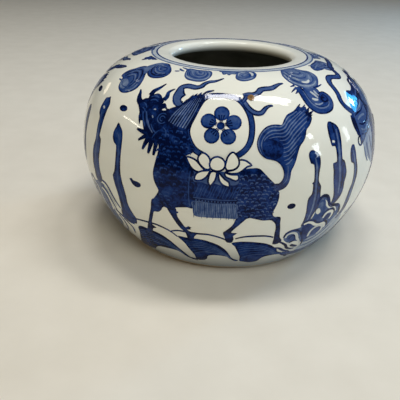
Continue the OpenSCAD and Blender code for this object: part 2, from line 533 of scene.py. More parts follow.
def wash(sheet, points, tone, level=0):
    # a filled shape, cut into small cells so that it can bend round the pot
    path = smoothPath(points, True)
    verts = [sheet.verts.new((*spot, 0)) for spot in path]
    edges = [sheet.edges.new((verts[i - 1], verts[i])) for i in range(len(verts))]
    layPaint(sheet, verts, [tone] * len(verts), level)
    made = bmesh.ops.triangle_fill(sheet, use_beauty=True, edges=edges, normal=(0, 0, 1))
    geom = list(set(verts + edges + made["geom"]))
    for axis in (0, 1):
        low = min(spot[axis] for spot in path)
        high = max(spot[axis] for spot in path)
        normal = Vector((1 - axis, axis, 0))
        for cut in range(math.floor(low / brush["cell"]) + 1, math.ceil(high / brush["cell"])):
            made = bmesh.ops.bisect_plane(
                sheet, geom=geom, dist=1e-4, plane_co=normal * cut * brush["cell"], plane_no=normal
            )
            geom = made["geom"]


def stroke(sheet, points, widths, tone, level=2, closed=False, rim=None):
    # a brush line; rim gives a second tone, and lays the line along the inner side of a closed shape
    if isinstance(widths, (int, float)):
        widths = (widths, widths, widths)
    path = smoothPath(points, closed)
    if closed:
        path.append(path[0])
    leftShare, rightShare = brush["centred"] if rim is None else brush["alongRim"]
    verts = []
    tones = []
    for i, spot in enumerate(path):
        across = sideways(path, i, closed) * widthAt(widths, i / (len(path) - 1))
        left = spot + across * leftShare
        right = spot - across * rightShare
        if i == 0:
            verts = [sheet.verts.new((*left, 0)), sheet.verts.new((*right, 0))]
            edge = sheet.edges.new(verts)
        else:
            made = bmesh.ops.extrude_edge_only(sheet, edges=[edge])["geom"]
            edge = next(g for g in made if isinstance(g, bmesh.types.BMEdge))
            ends = list(edge.verts)
            if not any(side.other_vert(ends[0]) == verts[-2] for side in ends[0].link_edges):
                ends.reverse()
            ends[0].co = (*left, 0)
            ends[1].co = (*right, 0)
            verts += ends
        tones += [tone if rim is None else rim, tone]
    layPaint(sheet, verts, tones, level)
    if closed:
        bmesh.ops.remove_doubles(sheet, verts=verts[:2] + verts[-2:], dist=1e-4)


def strokes(sheet, lines, level=2):
    for tone, widths, points in lines:
        stroke(sheet, points, widths, tone, level)


def outlined(sheet, points, tone, edge=1.0, width=0.9, level=0):
    # a wash with its pigment gathered along the edge
    pairs = zip(points, points[1:] + points[:1])
    if sum(a[0] * b[1] - b[0] * a[1] for a, b in pairs) < 0:
        points = points[::-1]
    wash(sheet, points, tone, level)
    stroke(sheet, points, width, edge, level + 1, closed=True, rim=tone)


def ribbon(sheet, points, widths, tone, edge=1.0, level=0):
    # a wide line with a darker line along both its edges
    stroke(sheet, points, widths, tone, level)
    path = smoothPath(points)
    for share in (-brush["ribbonEdge"], brush["ribbonEdge"]):
        line = [
            spot + sideways(path, i, False) * widthAt(widths, i / (len(path) - 1)) * share
            for i, spot in enumerate(path)
        ]
        stroke(sheet, line[::3] + line[-1:], brush["edgeWidths"], edge, level + 1)


def fan(sheet, guides, counts, widths, tone, level=2):
    # hair strands or wave lines spread between neighbouring guide lines
    for first, second, count in zip(guides, guides[1:], counts):
        for i in range(count):
            line = [Vector(a).lerp(Vector(b), (i + 0.5) / count) for a, b in zip(first, second)]
            stroke(sheet, line, widths, tone + brush["strandChange"] * math.sin(i * 2.3), level)


def ring(centre, across, up, start=0, turn=360, shrink=1.0):
    # an ellipse or, with shrink, a spiral; start and turn in degrees
    count = max(8, round(abs(turn) / brush["ringStep"]))
    stretch = girthStretch(centre[1])
    points = []
    for i in range(count if turn == 360 else count + 1):
        scale = 1 + (shrink - 1) * i / count
        angle = math.radians(start + turn * i / count)
        points.append((
            centre[0] + across * scale * math.cos(angle) * stretch,
            centre[1] + up * scale * math.sin(angle),
        ))
    return points


def covers(points, spot):
    # whether a closed shape holds a spot
    held = False
    for a, b in zip(points, points[1:] + points[:1]):
        if (a[1] > spot[1]) != (b[1] > spot[1]):
            if spot[0] < a[0] + (b[0] - a[0]) * (spot[1] - a[1]) / (b[1] - a[1]):
                held = not held
    return held


# Scales: most values are shares of a scale's size
dab = {
    "shift": 0.18, "rowStep": 0.8, "wide": 0.36, "wideChange": 0.08, "lean": 0.2, "crown": (0.2, 0.18),
    "tip": 0.12, "thick": 0.3, "thickChange": 0.08, "toneChange": 0.09,
}


def scales(sheet, shape, corner, rows, columns, size, tone, level):
    # rows of scales inside a shape, each one a short curved dab; sway and drift make them uneven
    for row in range(rows):
        for column in range(columns):
            sway = math.sin(row * 12.9 + column * 78.2 + row * column)
            drift = math.cos(row * 39.3 + column * 11.7 + 2.7 * row * column)
            u = corner[0] + (column + row % 2 * 0.5 + sway * dab["shift"]) * size
            s = corner[1] - (row * dab["rowStep"] + drift * dab["shift"]) * size
            if covers(shape, (u, s)):
                wide = size * (dab["wide"] + drift * dab["wideChange"])
                lean = sway * dab["lean"] * size
                leftCrown, rightCrown = dab["crown"]
                arc = [
                    (u - wide, s - lean), (u - wide * 0.4, s + size * leftCrown),
                    (u + wide * 0.5, s + size * rightCrown), (u + wide, s + lean),
                ]
                thick = size * (dab["thick"] + sway * dab["thickChange"])
                stroke(sheet, arc, (dab["tip"], thick, dab["tip"]), tone + drift * dab["toneChange"], level)


def paintedPiece(name, sheet, places=(0,), material=None):
    # thickness first, then copies round the girth, then onto the pot with the glaze's own normals
    lift = sheet.verts.layers.float["lift"]
    ground = sheet.verts[:]
    bmesh.ops.recalc_face_normals(sheet, faces=sheet.faces)
    made = bmesh.ops.extrude_face_region(sheet, geom=sheet.faces[:], use_keep_orig=True)["geom"]
    for vert in ground:
        vert.co.z = brush["sunk"]
    for vert in made:
        if isinstance(vert, bmesh.types.BMVert):
            vert.co.z = vert[lift]
    bmesh.ops.recalc_face_normals(sheet, faces=sheet.faces)
    first = sheet.verts[:] + sheet.edges[:] + sheet.faces[:]
    firstVerts = sheet.verts[:]
    for place in places[1:]:
        made = bmesh.ops.duplicate(sheet, geom=first)["geom"]
        verts = [g for g in made if isinstance(g, bmesh.types.BMVert)]
        bmesh.ops.translate(sheet, vec=(place, 0, 0), verts=verts)
    bmesh.ops.translate(sheet, vec=(places[0], 0, 0), verts=firstVerts)
    normals = []
    for vert in sheet.verts:
        normals.append(outward(vert.co.x, vert.co.y))
        vert.co = onPot(*vert.co)
    sheet.verts.layers.float.remove(lift)
    piece = finishPiece(name, sheet, material or cobalt)
    piece.data.shade_smooth()
    piece.data.normals_split_custom_set_from_vertices(normals)
    print("painted", name, len(piece.data.polygons), "faces")
    return piece


# Where the four scenes round the pot stand, and what lies between them
around = {
    "scene": (0, 86.4, 175, -97), "head": (0, 175, -97), "tail": (0, 86.4, 175, -101),
    "right": (0, 93), "left": (0, -88.6), "dots": (0, 178),
}

# Beast's head, with its horns and beard
beastHead = {
    "tone": 0.96, "hornTone": 0.97,
    "shape": [
        (-22.4, 25.3), (-21.2, 25.2), (-20.2, 23.6), (-19.4, 21.4), (-19, 18), (-20.4, 15.2), (-22.2, 15),
        (-24.2, 15.6), (-26.6, 16), (-28.3, 17.2), (-29.4, 18.8), (-30.3, 20.1), (-31.4, 19.7),
        (-32.3, 20.9), (-32.8, 22.3), (-33.8, 23.4), (-34.8, 24.6), (-34.4, 26), (-33.2, 27.1), (-32, 27.4),
        (-32.3, 28.6), (-31.7, 29.4), (-30.6, 29.1), (-29.4, 29.6), (-28.2, 29.6), (-27, 29.1), (-26, 28.3),
        (-25, 28.1), (-24.8, 27.2), (-25.2, 26.5), (-24.2, 26.9), (-23.2, 26.3),
    ],
    "horns": [
        ((2.2, 1.5, 0.3), [(-34, 25.2), (-35.6, 25.9), (-36.7, 27.2), (-37.4, 28.5), (-38.4, 29.6)]),
        ((1.9, 1.2, 0.3), [(-31.8, 28.6), (-31.6, 30.2), (-30.4, 31.4), (-29.5, 32.4), (-28.4, 34)]),
        ((1.6, 1.2, 0.3), [(-25.2, 28), (-24.5, 29.2), (-24.9, 30.6), (-24.3, 31.6), (-22.9, 32.6)]),
        ((1.7, 1.3, 0.5), [(-26.5, 16.9), (-28.6, 16.8), (-31.3, 17.2)]),
        ((1.8, 1.2, 0.5), [(-26.2, 16.4), (-28, 15.2), (-29.7, 14)]),
        ((1.9, 1.4, 0.6), [(-25.6, 16), (-26.8, 13.4), (-27.4, 11.6)]),
        ((2.0, 1.5, 0.7), [(-24.4, 16), (-24.8, 12.8), (-25.1, 10.8)]),
        ((2.0, 1.4, 0.7), [(-22.7, 15.8), (-22.9, 12.6), (-23.1, 10.6)]),
        ((1.1, 0.7, 0.2), [(-32, 21.4), (-31.5, 20), (-30.9, 18.8)]),
    ],
    "face": [
        (0.62, (0.3, 0.5, 0.2), [(-31.4, 22.8), (-30, 20.4), (-28.4, 18.4)]),
        (0.55, (0.3, 0.6, 0.2), [(-30, 23), (-28.2, 20.2), (-26.2, 18)]),
        (0.42, hair, [(-28, 20.4), (-26.6, 18.6), (-24.9, 17.1)]),
        (0.62, hair, [(-26.4, 19.6), (-25.2, 18.2), (-23.6, 17.2)]),
        (0.62, hair, [(-31, 28), (-29.2, 28.8), (-27.4, 28.2)]),
        (0.66, hair, [(-30.6, 26.8), (-28.8, 27.5), (-27, 26.9)]),
        (0.66, hair, [(-33, 25.6), (-31.6, 25.2), (-30.6, 24.2)]),
        (0.66, hair, [(-32.4, 24), (-31.2, 23.6), (-30.4, 22.8)]),
        (0.25, (0.2, 0.5, 0.2), [(-27.4, 24.2), (-26.9, 24.35), (-26.4, 24.2)]),
        (0.3, (0.2, 0.5, 0.2), [(-27, 22.3), (-26.7, 21.9), (-26.4, 21.5)]),
        (0.05, bold, [(-24, 24.6), (-23.3, 24.9), (-22.6, 24.8)]),
        (0.6, (0.2, 0.35, 0.2), ring((-22.8, 21.9), 1.8, 1.8, 20, 300, 0.8)),
        (0.6, (0.2, 0.3, 0.2), ring((-22.8, 21.9), 0.9, 0.9, 20, 270, 0.8)),
        (0.7, (0.2, 0.35, 0.2), [(-21.6, 19.4), (-20.2, 18.4), (-20, 16.6)]),
        (0.7, (0.2, 0.35, 0.2), [(-24.6, 15.6), (-24, 17), (-22.6, 18.4)]),
    ],
}
sheet = newSheet()
outlined(sheet, beastHead["shape"], beastHead["tone"], level=2)
for widths, line in beastHead["horns"]:
    stroke(sheet, line, widths, beastHead["hornTone"], level=4)
strokes(sheet, beastHead["face"], level=5)
paintedPiece("beastHead", sheet, around["head"])

# Beast's body: chest, neck, rump and legs in dark washes, with scales
beastBody = {
    "chestTone": 0.9, "neckTone": 1.0, "rumpTone": 0.89, "loinTone": 0.92, "legTone": 0.88,
    "rumpScales": {"corner": (3.4, 7.4), "rows": 14, "columns": 10, "size": 1.5, "tone": 0.54},
    "chestScales": {"corner": (-21.8, 18.4), "rows": 18, "columns": 8, "size": 1.8, "tone": 0.76},
    "chest": [
        (-20.6, 22), (-17, 20.2), (-14.4, 19.8), (-13.2, 20), (-12.4, 18.2), (-11.2, 16.2), (-9.8, 14.4),
        (-10.6, 13.2), (-12.2, 12.2), (-12, 10.4), (-10.4, 8), (-8.4, 5), (-8.6, -1), (-9.2, -4), (-11, -4),
        (-13.2, -4.4), (-15, -4.9), (-15.6, -5.9), (-17.4, -5.9), (-18.8, -5.4), (-20.4, -6.8),
        (-22.4, -6.8), (-23, -5.4), (-22.6, -3.8), (-21.3, -1.8), (-20.5, 0), (-21.3, 1.4), (-22.2, 3.2),
        (-22.6, 5.6), (-22.3, 8), (-21.8, 10.6), (-21.6, 13), (-22.2, 16), (-22, 19),
    ],
    "neck": [
        (-20.4, 21.6), (-17, 19.8), (-13.8, 19), (-12, 16), (-12.4, 12), (-13, 9), (-15, 6.4), (-18, 5.4),
        (-20.6, 4.4), (-22.2, 6), (-21.6, 10.6), (-21.4, 13), (-22, 16),
    ],
    "rump": [
        (4, 8), (5.4, 9.2), (7.6, 9.7), (9.4, 9.9), (10.4, 9.6), (11.3, 8.8), (12.7, 7.3), (14.2, 5.8),
        (15.2, 4.8), (16.2, 3.3), (16.8, 1.2), (16.6, -1), (16, -3), (15.4, -4.6), (15.6, -5.9),
        (16.4, -6.6), (17.7, -6.7), (18.2, -7.6), (16.2, -8), (14.8, -7.6), (12.6, -7.6), (10.2, -6.9),
        (8.2, -6.4), (6.8, -7), (5, -6.6), (4, -4), (3.4, -1.2), (2, 2), (2, 5),
    ],
    "loin": [
        (4, 8.2), (6, 9.6), (9.4, 9.8), (11, 8.9), (10.4, 7.4), (8, 6.6), (5.4, 6), (3, 5),
    ],
    "legs": [
        [(-22.9, -3.6), (-23.8, -7.4), (-24.8, -10.4), (-25.8, -13.2), (-26.8, -15.6), (-27.8, -18),
         (-29, -20.4), (-26.4, -20.6), (-25.6, -18.2), (-24.9, -16.8), (-23.4, -16), (-24.8, -15.2),
         (-24.6, -13.4), (-23.6, -10.6), (-22.8, -8.4), (-21, -8), (-19.6, -6.2), (-20, -4)],
        [(-17.9, -5), (-16.4, -8.4), (-15, -11.2), (-13.6, -13.4), (-12.4, -14.6), (-11.9, -16.4),
         (-11.6, -18), (-9.8, -18), (-9.3, -16.2), (-8.2, -14.4), (-10.4, -14.2), (-11.6, -13.3),
         (-10, -12.1), (-12, -12.4), (-13.1, -10.8), (-14.5, -8.2), (-15, -5)],
        [(4.6, -6), (3.4, -9.2), (1.8, -11.4), (0.4, -13), (0.8, -14.4), (1.2, -15.8), (2, -17.8),
         (3.5, -17.8), (4, -15.9), (3.7, -14.3), (4.9, -13.1), (3, -12.8), (3.6, -11.4), (5.6, -8.8),
         (7.4, -6.2)],
        [(15, -7), (16.9, -9.2), (17.6, -11.5), (17.8, -14), (18.2, -16.6), (18.6, -19.8), (20.6, -19.9),
         (21.6, -18.5), (20.4, -16.6), (19.7, -14.4), (19.2, -11.8), (18.6, -9.2), (18.1, -6.8)],
    ],
}
sheet = newSheet()
outlined(sheet, beastBody["chest"], beastBody["chestTone"], level=1)
wash(sheet, beastBody["neck"], beastBody["neckTone"], level=2)
outlined(sheet, beastBody["rump"], beastBody["rumpTone"], level=1)
wash(sheet, beastBody["loin"], beastBody["loinTone"], level=2)
for shape in beastBody["legs"]:
    outlined(sheet, shape, beastBody["legTone"], level=1)
scales(sheet, beastBody["rump"], **beastBody["rumpScales"], level=3)
scales(sheet, beastBody["chest"], **beastBody["chestScales"], level=3)
paintedPiece("beastBody", sheet, around["scene"])

# Mane
mane = {
    "tone": 0.93, "edge": 0.99, "edgeWidth": 0.6, "tuftTone": 0.9,
    "strands": (4, 4), "strandWidths": (0.28, 0.3, 0.02), "strandTone": 0.4,
    "shape": [
        (-22.2, 24.2), (-21, 25.6), (-19.4, 26.3), (-17.6, 27.2), (-16.2, 28.4), (-15, 29.8), (-14, 30.8),
        (-12.6, 31.4), (-10.9, 31.9), (-9.5, 31.6), (-9.8, 29.6), (-10.2, 27.6), (-10.6, 25.6),
        (-11.2, 23.6), (-12.1, 21.4), (-13.2, 19.6), (-14.8, 19.4), (-17.2, 19.8), (-19.8, 20.8),
        (-21, 22.4),
    ],
    "guides": [
        [(-20.6, 21.6), (-19.9, 23.4), (-18.6, 25.2), (-16.6, 27.4)],
        [(-17.2, 20.4), (-15.9, 23.4), (-14.4, 26.8), (-12.9, 30.4)],
        [(-13.5, 20), (-12.3, 22.8), (-11.2, 26.2), (-10.3, 30.6)],
    ],
    "tufts": [
        [(-17.2, 27), (-16, 29.4)],
        [(-15.6, 28.8), (-14.2, 31.4)],
        [(-14.4, 29.8), (-12.8, 32)],
        [(-12.8, 30.2), (-11.2, 32.6)],
    ],
    "wisps": [
        (0.95, (0.7, 0.5, 0.2), [(-11, 30.4), (-10, 31.6), (-9, 32.6), (-8.4, 33.2)]),
        (0.95, (0.5, 0.8, 0.3), [(-10.6, 31.6), (-9.2, 32.9), (-8, 33.4), (-6.4, 33.9)]),
        (0.95, (0.6, 0.5, 0.2), [(-11, 28.4), (-10, 29.4), (-8.8, 30)]),
    ],
}
sheet = newSheet()
outlined(sheet, mane["shape"], mane["tone"], mane["edge"], mane["edgeWidth"], level=5)
fan(sheet, mane["guides"], mane["strands"], mane["strandWidths"], mane["strandTone"], level=7)
for line in mane["tufts"]:
    stroke(sheet, line, tuft, mane["tuftTone"], level=6)
strokes(sheet, mane["wisps"], level=7)
paintedPiece("beastMane", sheet, around["scene"], glossyCobalt)

# Tail
tail = {
    "tone": 0.76, "edge": 0.97, "edgeWidth": 0.6, "bulbTone": 0.92,
    "strandWidths": (0.15, 0.38, 0.12), "strandTone": 0.4,
    "shape": [
        (15, 4.9), (16.3, 4.9), (17.4, 5.8), (17.9, 7.4), (17.6, 9.2), (16.6, 10.8), (15.2, 11.8),
        (13.8, 12.2), (12.2, 12.6), (10.8, 13.6), (9.8, 15), (9.4, 16.8), (9.7, 18.4), (10.6, 20),
        (12, 21.4), (13.6, 22.2), (15.4, 22.5), (17.2, 22.4), (18.3, 22.3), (19.4, 23.8), (20.8, 25.2),
        (22.2, 25.8), (23.8, 26.3), (25.2, 27.1), (26.7, 27.8), (27.4, 27.2), (28.5, 27.5), (29.5, 27.2),
        (29.4, 26.4), (30.5, 26.2), (29.9, 25.3), (31.6, 25.4), (30.3, 24.2), (30.4, 23.5), (29.7, 22.4),
        (28.5, 21.2), (27.2, 20.3), (26.7, 19.6), (26.2, 18.2), (25.1, 16.8), (23.8, 15.6), (22.8, 13.8),
        (22, 11.6), (21.1, 9.8), (20.3, 8.4), (20, 6.4), (19.4, 4.6), (18.4, 3.4), (17, 2.8), (15.6, 2.6),
        (14.6, 3.8),
    ],
    "bulb": [
        (11, 15.4), (11.2, 17), (12.2, 18), (13.6, 18.3), (15, 17.9), (16.4, 17.4), (17.6, 16.4), (18, 15),
        (17.6, 13.6), (16.4, 12.6), (15, 12.3), (13.4, 12.7), (11.9, 13.7),
    ],
    "strands": [
        [(10.8, 14), (9.9, 16.5), (10.2, 18.4), (11.4, 20.2), (13.2, 21.4), (15.4, 21.9), (17.6, 21.7),
         (19.2, 22.6), (21, 24.4), (23.5, 25.4), (26, 26.6)],
        [(11.3, 14.6), (10.8, 16.6), (11.3, 18.2), (12.6, 19.7), (14.6, 20.7), (17, 20.7), (19, 21.2),
         (20.6, 22.8), (22.6, 24), (25, 25.2), (27.5, 26.4)],
        [(11.6, 17.4), (12.2, 18.4), (13.6, 19.3), (15.6, 19.8), (17.8, 19.7), (19.6, 20.4), (21, 21.8),
         (23, 23.2), (25.6, 24.8), (28.4, 26.2)],
        [(13.4, 18.4), (14.8, 18.7), (16.4, 18.8), (18.4, 18.7), (20, 19.6), (21.4, 21), (23.6, 22.6),
         (26.4, 24.2), (29.4, 25.6)],
        [(16.8, 17.7), (18.6, 17.7), (20.2, 18.6), (21.6, 20), (23.8, 21.6), (26.6, 23.2), (29.8, 24.6)],
        [(17.8, 16.5), (19.2, 16.6), (20.6, 17.6), (22, 19), (24, 20.4), (26.6, 22), (29.2, 23.4)],
        [(17.7, 15.3), (19.2, 15.5), (20.8, 16.6), (22.4, 18), (24.2, 19.3), (26.4, 20.8)],
        [(17.8, 14.1), (19.4, 14.4), (21, 15.6), (22.6, 17), (24.6, 18.5)],
        [(17.8, 12.9), (19.4, 13.2), (21, 14.4), (22.8, 15.9)],
        [(18, 11.7), (19.4, 12.1), (20.8, 13.2), (22, 14.4)],
        [(18.4, 10.5), (19.6, 11), (20.8, 12.1)],
    ],
    "lines": [
        (0.8, (0.15, 0.3, 0.15), ring((13.3, 15.7), 1.1, 1.1, 200, -300, 0.7)),
        (0.45, (0.15, 0.25, 0.15), [(17.6, 4.6), (18.8, 5.8), (19.2, 8), (19.2, 10)]),
        (0.9, tuft, [(25, 26.2), (26.4, 27.6), (27.6, 28.4)]),
        (0.9, tuft, [(27, 26), (28.4, 27.2), (29.6, 28)]),
        (0.9, tuft, [(28.4, 25), (29.8, 26.2), (31.2, 27)]),
        (0.9, tuft, [(28.8, 24.2), (30.4, 25), (32.2, 25.6)]),
        (0.9, (0.9, 0.6, 0.15), [(28, 22.6), (29.6, 23.8), (31, 24.4)]),
    ],
}
sheet = newSheet()
outlined(sheet, tail["shape"], tail["tone"], tail["edge"], tail["edgeWidth"], level=2)
for line in tail["strands"]:
    stroke(sheet, line, tail["strandWidths"], tail["strandTone"], level=4)
wash(sheet, tail["bulb"], tail["bulbTone"], level=5)
strokes(sheet, tail["lines"], level=6)
paintedPiece("beastTail", sheet, around["tail"], glossyCobalt)

# Saddle cloth with its fringe
saddle = {
    "tone": 0.86, "topTone": 0.5, "fringeTone": 0.38, "fringeEdge": 0.5, "fringeEdgeWidth": 0.4,
    "left": -9, "hatches": 14, "hatchStep": 0.95, "hatchSway": 0.25, "hatchWidths": (0.2, 0.3, 0.2),
    "hatchTone": 0.68, "stitchWidth": 0.5, "darkStitch": 0.95, "paleStitch": 0.5,
    "threads": 24, "threadStep": 0.56, "threadSway": 0.12, "threadWidths": (0.2, 0.28, 0.1),
    "threadTone": 0.58, "darkThread": 0.22,
    "shape": [
        (-9.4, 8), (-8, 6.4), (-4, 5), (0, 5), (3.6, 7.4), (4, 5), (3.9, 1), (3.8, -1.3), (-2, -1.5),
        (-9.2, -1.4), (-9.4, 2), (-9.5, 5),
    ],
    "top": [
        (-9.4, 8.4), (-4, 8.6), (0, 8.6), (4, 8.4), (4.1, 5.4), (2.4, 4.6), (0.6, 5), (-1, 4.4),
        (-2.8, 4.9), (-5, 4.5), (-7, 5), (-9.3, 5),
    ],
    "fringe": [
        (-9.2, -1.4), (-2, -1.5), (3.9, -1.4), (4.2, -4), (4.5, -6.6), (0, -6.7), (-5, -6.9), (-8.7, -6.7),
        (-9.3, -4),
    ],
    "seams": [
        (0.62, 0.35, [(-10.5, 8), (-10.7, 4), (-10.6, -0.4), (-10.2, -3.6)]),
        (0.52, 0.3, [(-9.2, -0.2), (-2, -0.3), (3.8, -0.1)]),
    ],
}
sheet = newSheet()
outlined(sheet, saddle["shape"], saddle["tone"], level=2)
wash(sheet, saddle["top"], saddle["topTone"], level=3)
outlined(
    sheet, saddle["fringe"], saddle["fringeTone"], saddle["fringeEdge"], saddle["fringeEdgeWidth"], level=2
)
for i in range(saddle["hatches"]):
    u = saddle["left"] + i * saddle["hatchStep"]
    sway = saddle["hatchSway"] * math.sin(i * 1.9)
    hatch = [(u, 0.2), (u + 0.7 + sway, 2), (u + 1.5, 4.2)]
    stroke(sheet, hatch, saddle["hatchWidths"], saddle["hatchTone"], level=4)
    stroke(sheet, [(u, -0.9), (u + 0.5, -0.95)], saddle["stitchWidth"], saddle["darkStitch"], level=4)
    stroke(sheet, [(u + 0.5, -1), (u + 0.9, -1)], saddle["stitchWidth"], saddle["paleStitch"], level=4)
for i in range(saddle["threads"]):
    u = saddle["left"] + i * saddle["threadStep"]
    sway = saddle["threadSway"] * math.sin(i * 2.1)
    thread = [(u, -1.7), (u - sway, -4), (u + 2 * sway, -6.8 - 0.7 * math.cos(i * 1.7))]
    tone = saddle["threadTone"] + saddle["darkThread"] * (i % 3 == 0)
    stroke(sheet, thread, saddle["threadWidths"], tone, level=4)
strokes(sheet, saddle["seams"], level=4)
paintedPiece("saddleCloth", sheet, around["scene"])

# Lotus on the saddle: white petals with a dark outline, each laid over the one before
lotus = {
    "white": 0.0, "edge": 0.92, "edgeWidth": 0.55, "petalLevel": 5, "edgeLevel": 5.6, "levelStep": 1.2,
    "shade": [
        (0.97, (0.8, 1.6, 0.8), [(-12.8, 12), (-12, 10.2), (-10.6, 8.4), (-9.4, 6.6)]),
    ],
    "petals": [
        [(-12, 11.9), (-10.2, 11.8), (-8.6, 11), (-7.4, 9.8), (-6.2, 8.6), (-8, 8), (-9.8, 8.6),
         (-11.2, 10.2)],
        [(4, 12.2), (5.6, 12.2), (6.8, 11.6), (7.8, 10.7), (6.6, 10.4), (5.4, 9.4), (3.8, 8.4),
         (1.6, 8.2), (0, 8.6), (2.2, 9.2), (3.4, 9.9), (4, 11)],
        [(-9, 5.6), (-8.6, 7.4), (-6.8, 8.4), (-4.6, 8.6), (-4.9, 7.6), (-6, 6.2), (-7.5, 5.4)],
        [(0, 8.3), (1.8, 7.9), (3.9, 7.8), (4, 6.4), (3.2, 6), (1.6, 6.6), (0.2, 7.2)],
        [(-4.2, 8.4), (-2.6, 8.4), (-2.7, 6.4), (-3.4, 5), (-4.2, 4.2), (-4.9, 5.2), (-4.8, 6.8)],
        [(-2, 8.2), (-1, 7.4), (0, 6.4), (1.2, 5.6), (1.4, 4.2), (-0.4, 4.6), (-1.6, 6)],
        [(-8.3, 12.6), (-7.2, 13.7), (-5.8, 13.2), (-4.8, 12), (-4.6, 10.4), (-4.6, 9.2), (-6, 9),
         (-7.6, 10.2), (-8.4, 11.4)],
        [(0.1, 11.5), (0.6, 13.2), (1.8, 14.4), (2.8, 14), (3.8, 12.6), (4, 11), (3.2, 9.8), (1.8, 9.2),
         (0.4, 9.2), (-0.1, 10)],
        [(-4.8, 10.6), (-4.2, 12.2), (-2.6, 12.9), (-0.9, 12.3), (-0.1, 11), (-0.6, 9.4), (-2.4, 8.7),
         (-4.2, 9.2)],
    ],
}
sheet = newSheet()
strokes(sheet, lotus["shade"], level=4)
for i, shape in enumerate(lotus["petals"]):
    rise = i * lotus["levelStep"]
    wash(sheet, shape, lotus["white"], lotus["petalLevel"] + rise)
    stroke(sheet, shape, lotus["edgeWidth"], lotus["edge"], lotus["edgeLevel"] + rise, closed=True)
paintedPiece("lotus", sheet, around["scene"])

# Roundel: a ring with two dark edges
roundel = {
    "tone": 0.7, "edge": 0.97, "widths": (1.8, 1.8, 1.8),
    "line": [
        (-7.2, 13.1), (-9.4, 14.1), (-11.3, 15.9), (-12.8, 18.4), (-13.1, 20.6), (-12.4, 23.4), (-11.6, 26),
        (-10.8, 28.6), (-9.4, 30.7), (-6.8, 31.8), (-3, 32.1), (1, 31.8), (3.7, 30.9), (5.5, 29.2),
        (6.9, 27), (7.8, 24.4), (8, 21.6), (7.6, 18.6), (6.6, 16.2), (5, 14.5), (3.2, 13.4),
    ],
}
sheet = newSheet()
ribbon(sheet, roundel["line"], roundel["widths"], roundel["tone"], roundel["edge"])
paintedPiece("roundelRing", sheet, around["scene"], glossyCobalt)

# Plum blossom in the roundel; stretch makes up for the narrower girth at its height
blossom = {
    "centre": (-2.3, 22), "stretch": 1.15, "petals": 5, "petal": 2.3, "reach": 3.9,
    "tone": 0.62, "edge": 0.97, "edgeWidth": 0.8, "heart": 1.2, "heartTone": 0.9,
    "threads": (-14, 0, 14), "threadEnds": (1.3, 3.4), "threadWidths": (0.3, 0.25, 0.5),
}


def blossomSpot(degrees, reach):
    u, s = blossom["centre"]
    turn = math.radians(degrees)
    return u + reach * blossom["stretch"] * math.cos(turn), s + reach * math.sin(turn)


sheet = newSheet()
for i in range(blossom["petals"]):
    turn = 90 + i * 360 / blossom["petals"]
    petal = ring(blossomSpot(turn, blossom["reach"]), blossom["petal"], blossom["petal"])
    outlined(sheet, petal, blossom["tone"], blossom["edge"], blossom["edgeWidth"])
    for spread in blossom["threads"]:
        thread = [blossomSpot(turn + spread, reach) for reach in blossom["threadEnds"]]
        stroke(sheet, thread, blossom["threadWidths"], blossom["edge"], level=3)
wash(sheet, ring(blossom["centre"], blossom["heart"], blossom["heart"]), blossom["heartTone"], level=3)
paintedPiece("plumBlossom", sheet, around["scene"])

# Ribbons that tie the roundel
ribbons = {
    "tone": 0.52, "edge": 0.93, "lobeEdgeWidths": (0.3, 0.6, 0.4),
    "lines": [
        ((2.0, 1.8, 0.3), [(-17.2, 27.6), (-19, 27.5), (-20.4, 28.5), (-20.8, 30.2), (-20.8, 32.4),
            (-20.3, 33.7), (-19.2, 34.4), (-17.6, 34.7), (-15.6, 34.5), (-13.6, 34.5), (-12.3, 35.2),
            (-11.2, 36.6), (-10, 37.5), (-8, 37.9), (-6.2, 38.4), (-4.8, 39.3), (-3.2, 40)]),
        ((0.9, 1.9, 0.3), [(5.4, 32.6), (7.6, 33), (10.2, 32.9), (11.8, 33.6), (13.2, 34.8), (15.4, 35.2),
            (18, 35.3), (20.4, 36.1), (22.4, 36.9), (25, 37.2)]),
        ((1.3, 1.5, 0.3), [(5.4, 30.6), (6.2, 29.2), (7.4, 27.6), (9, 26.5), (10.8, 26.1), (12.4, 26.7),
            (13.6, 27.9), (14.6, 28.5), (16.4, 28.5)]),
        ((0.8, 1.1, 0.5), [(4.8, 29.8), (5.8, 30.8), (6.6, 31.8), (7, 32.8)]),
    ],
    "lobe": [
        (-21, 33.2), (-19.6, 33.4), (-19, 32.4), (-18.5, 31.5), (-17.7, 30.9), (-18.5, 30.1), (-18.8, 29),
        (-17.8, 28), (-19.4, 28), (-20.6, 29.2),
    ],
    "lobeEdge": [
        (-19.6, 33.6), (-19, 32.5), (-18.4, 31.5), (-17.6, 30.9), (-18.4, 30.1), (-18.7, 29), (-17.4, 27.9),
    ],
}
sheet = newSheet()
for widths, line in ribbons["lines"]:
    ribbon(sheet, line, widths, ribbons["tone"], ribbons["edge"], level=3)
wash(sheet, ribbons["lobe"], ribbons["tone"], level=5)
stroke(sheet, ribbons["lobeEdge"], ribbons["lobeEdgeWidths"], ribbons["edge"], level=6)
paintedPiece("ribbons", sheet, around["head"], glossyCobalt)

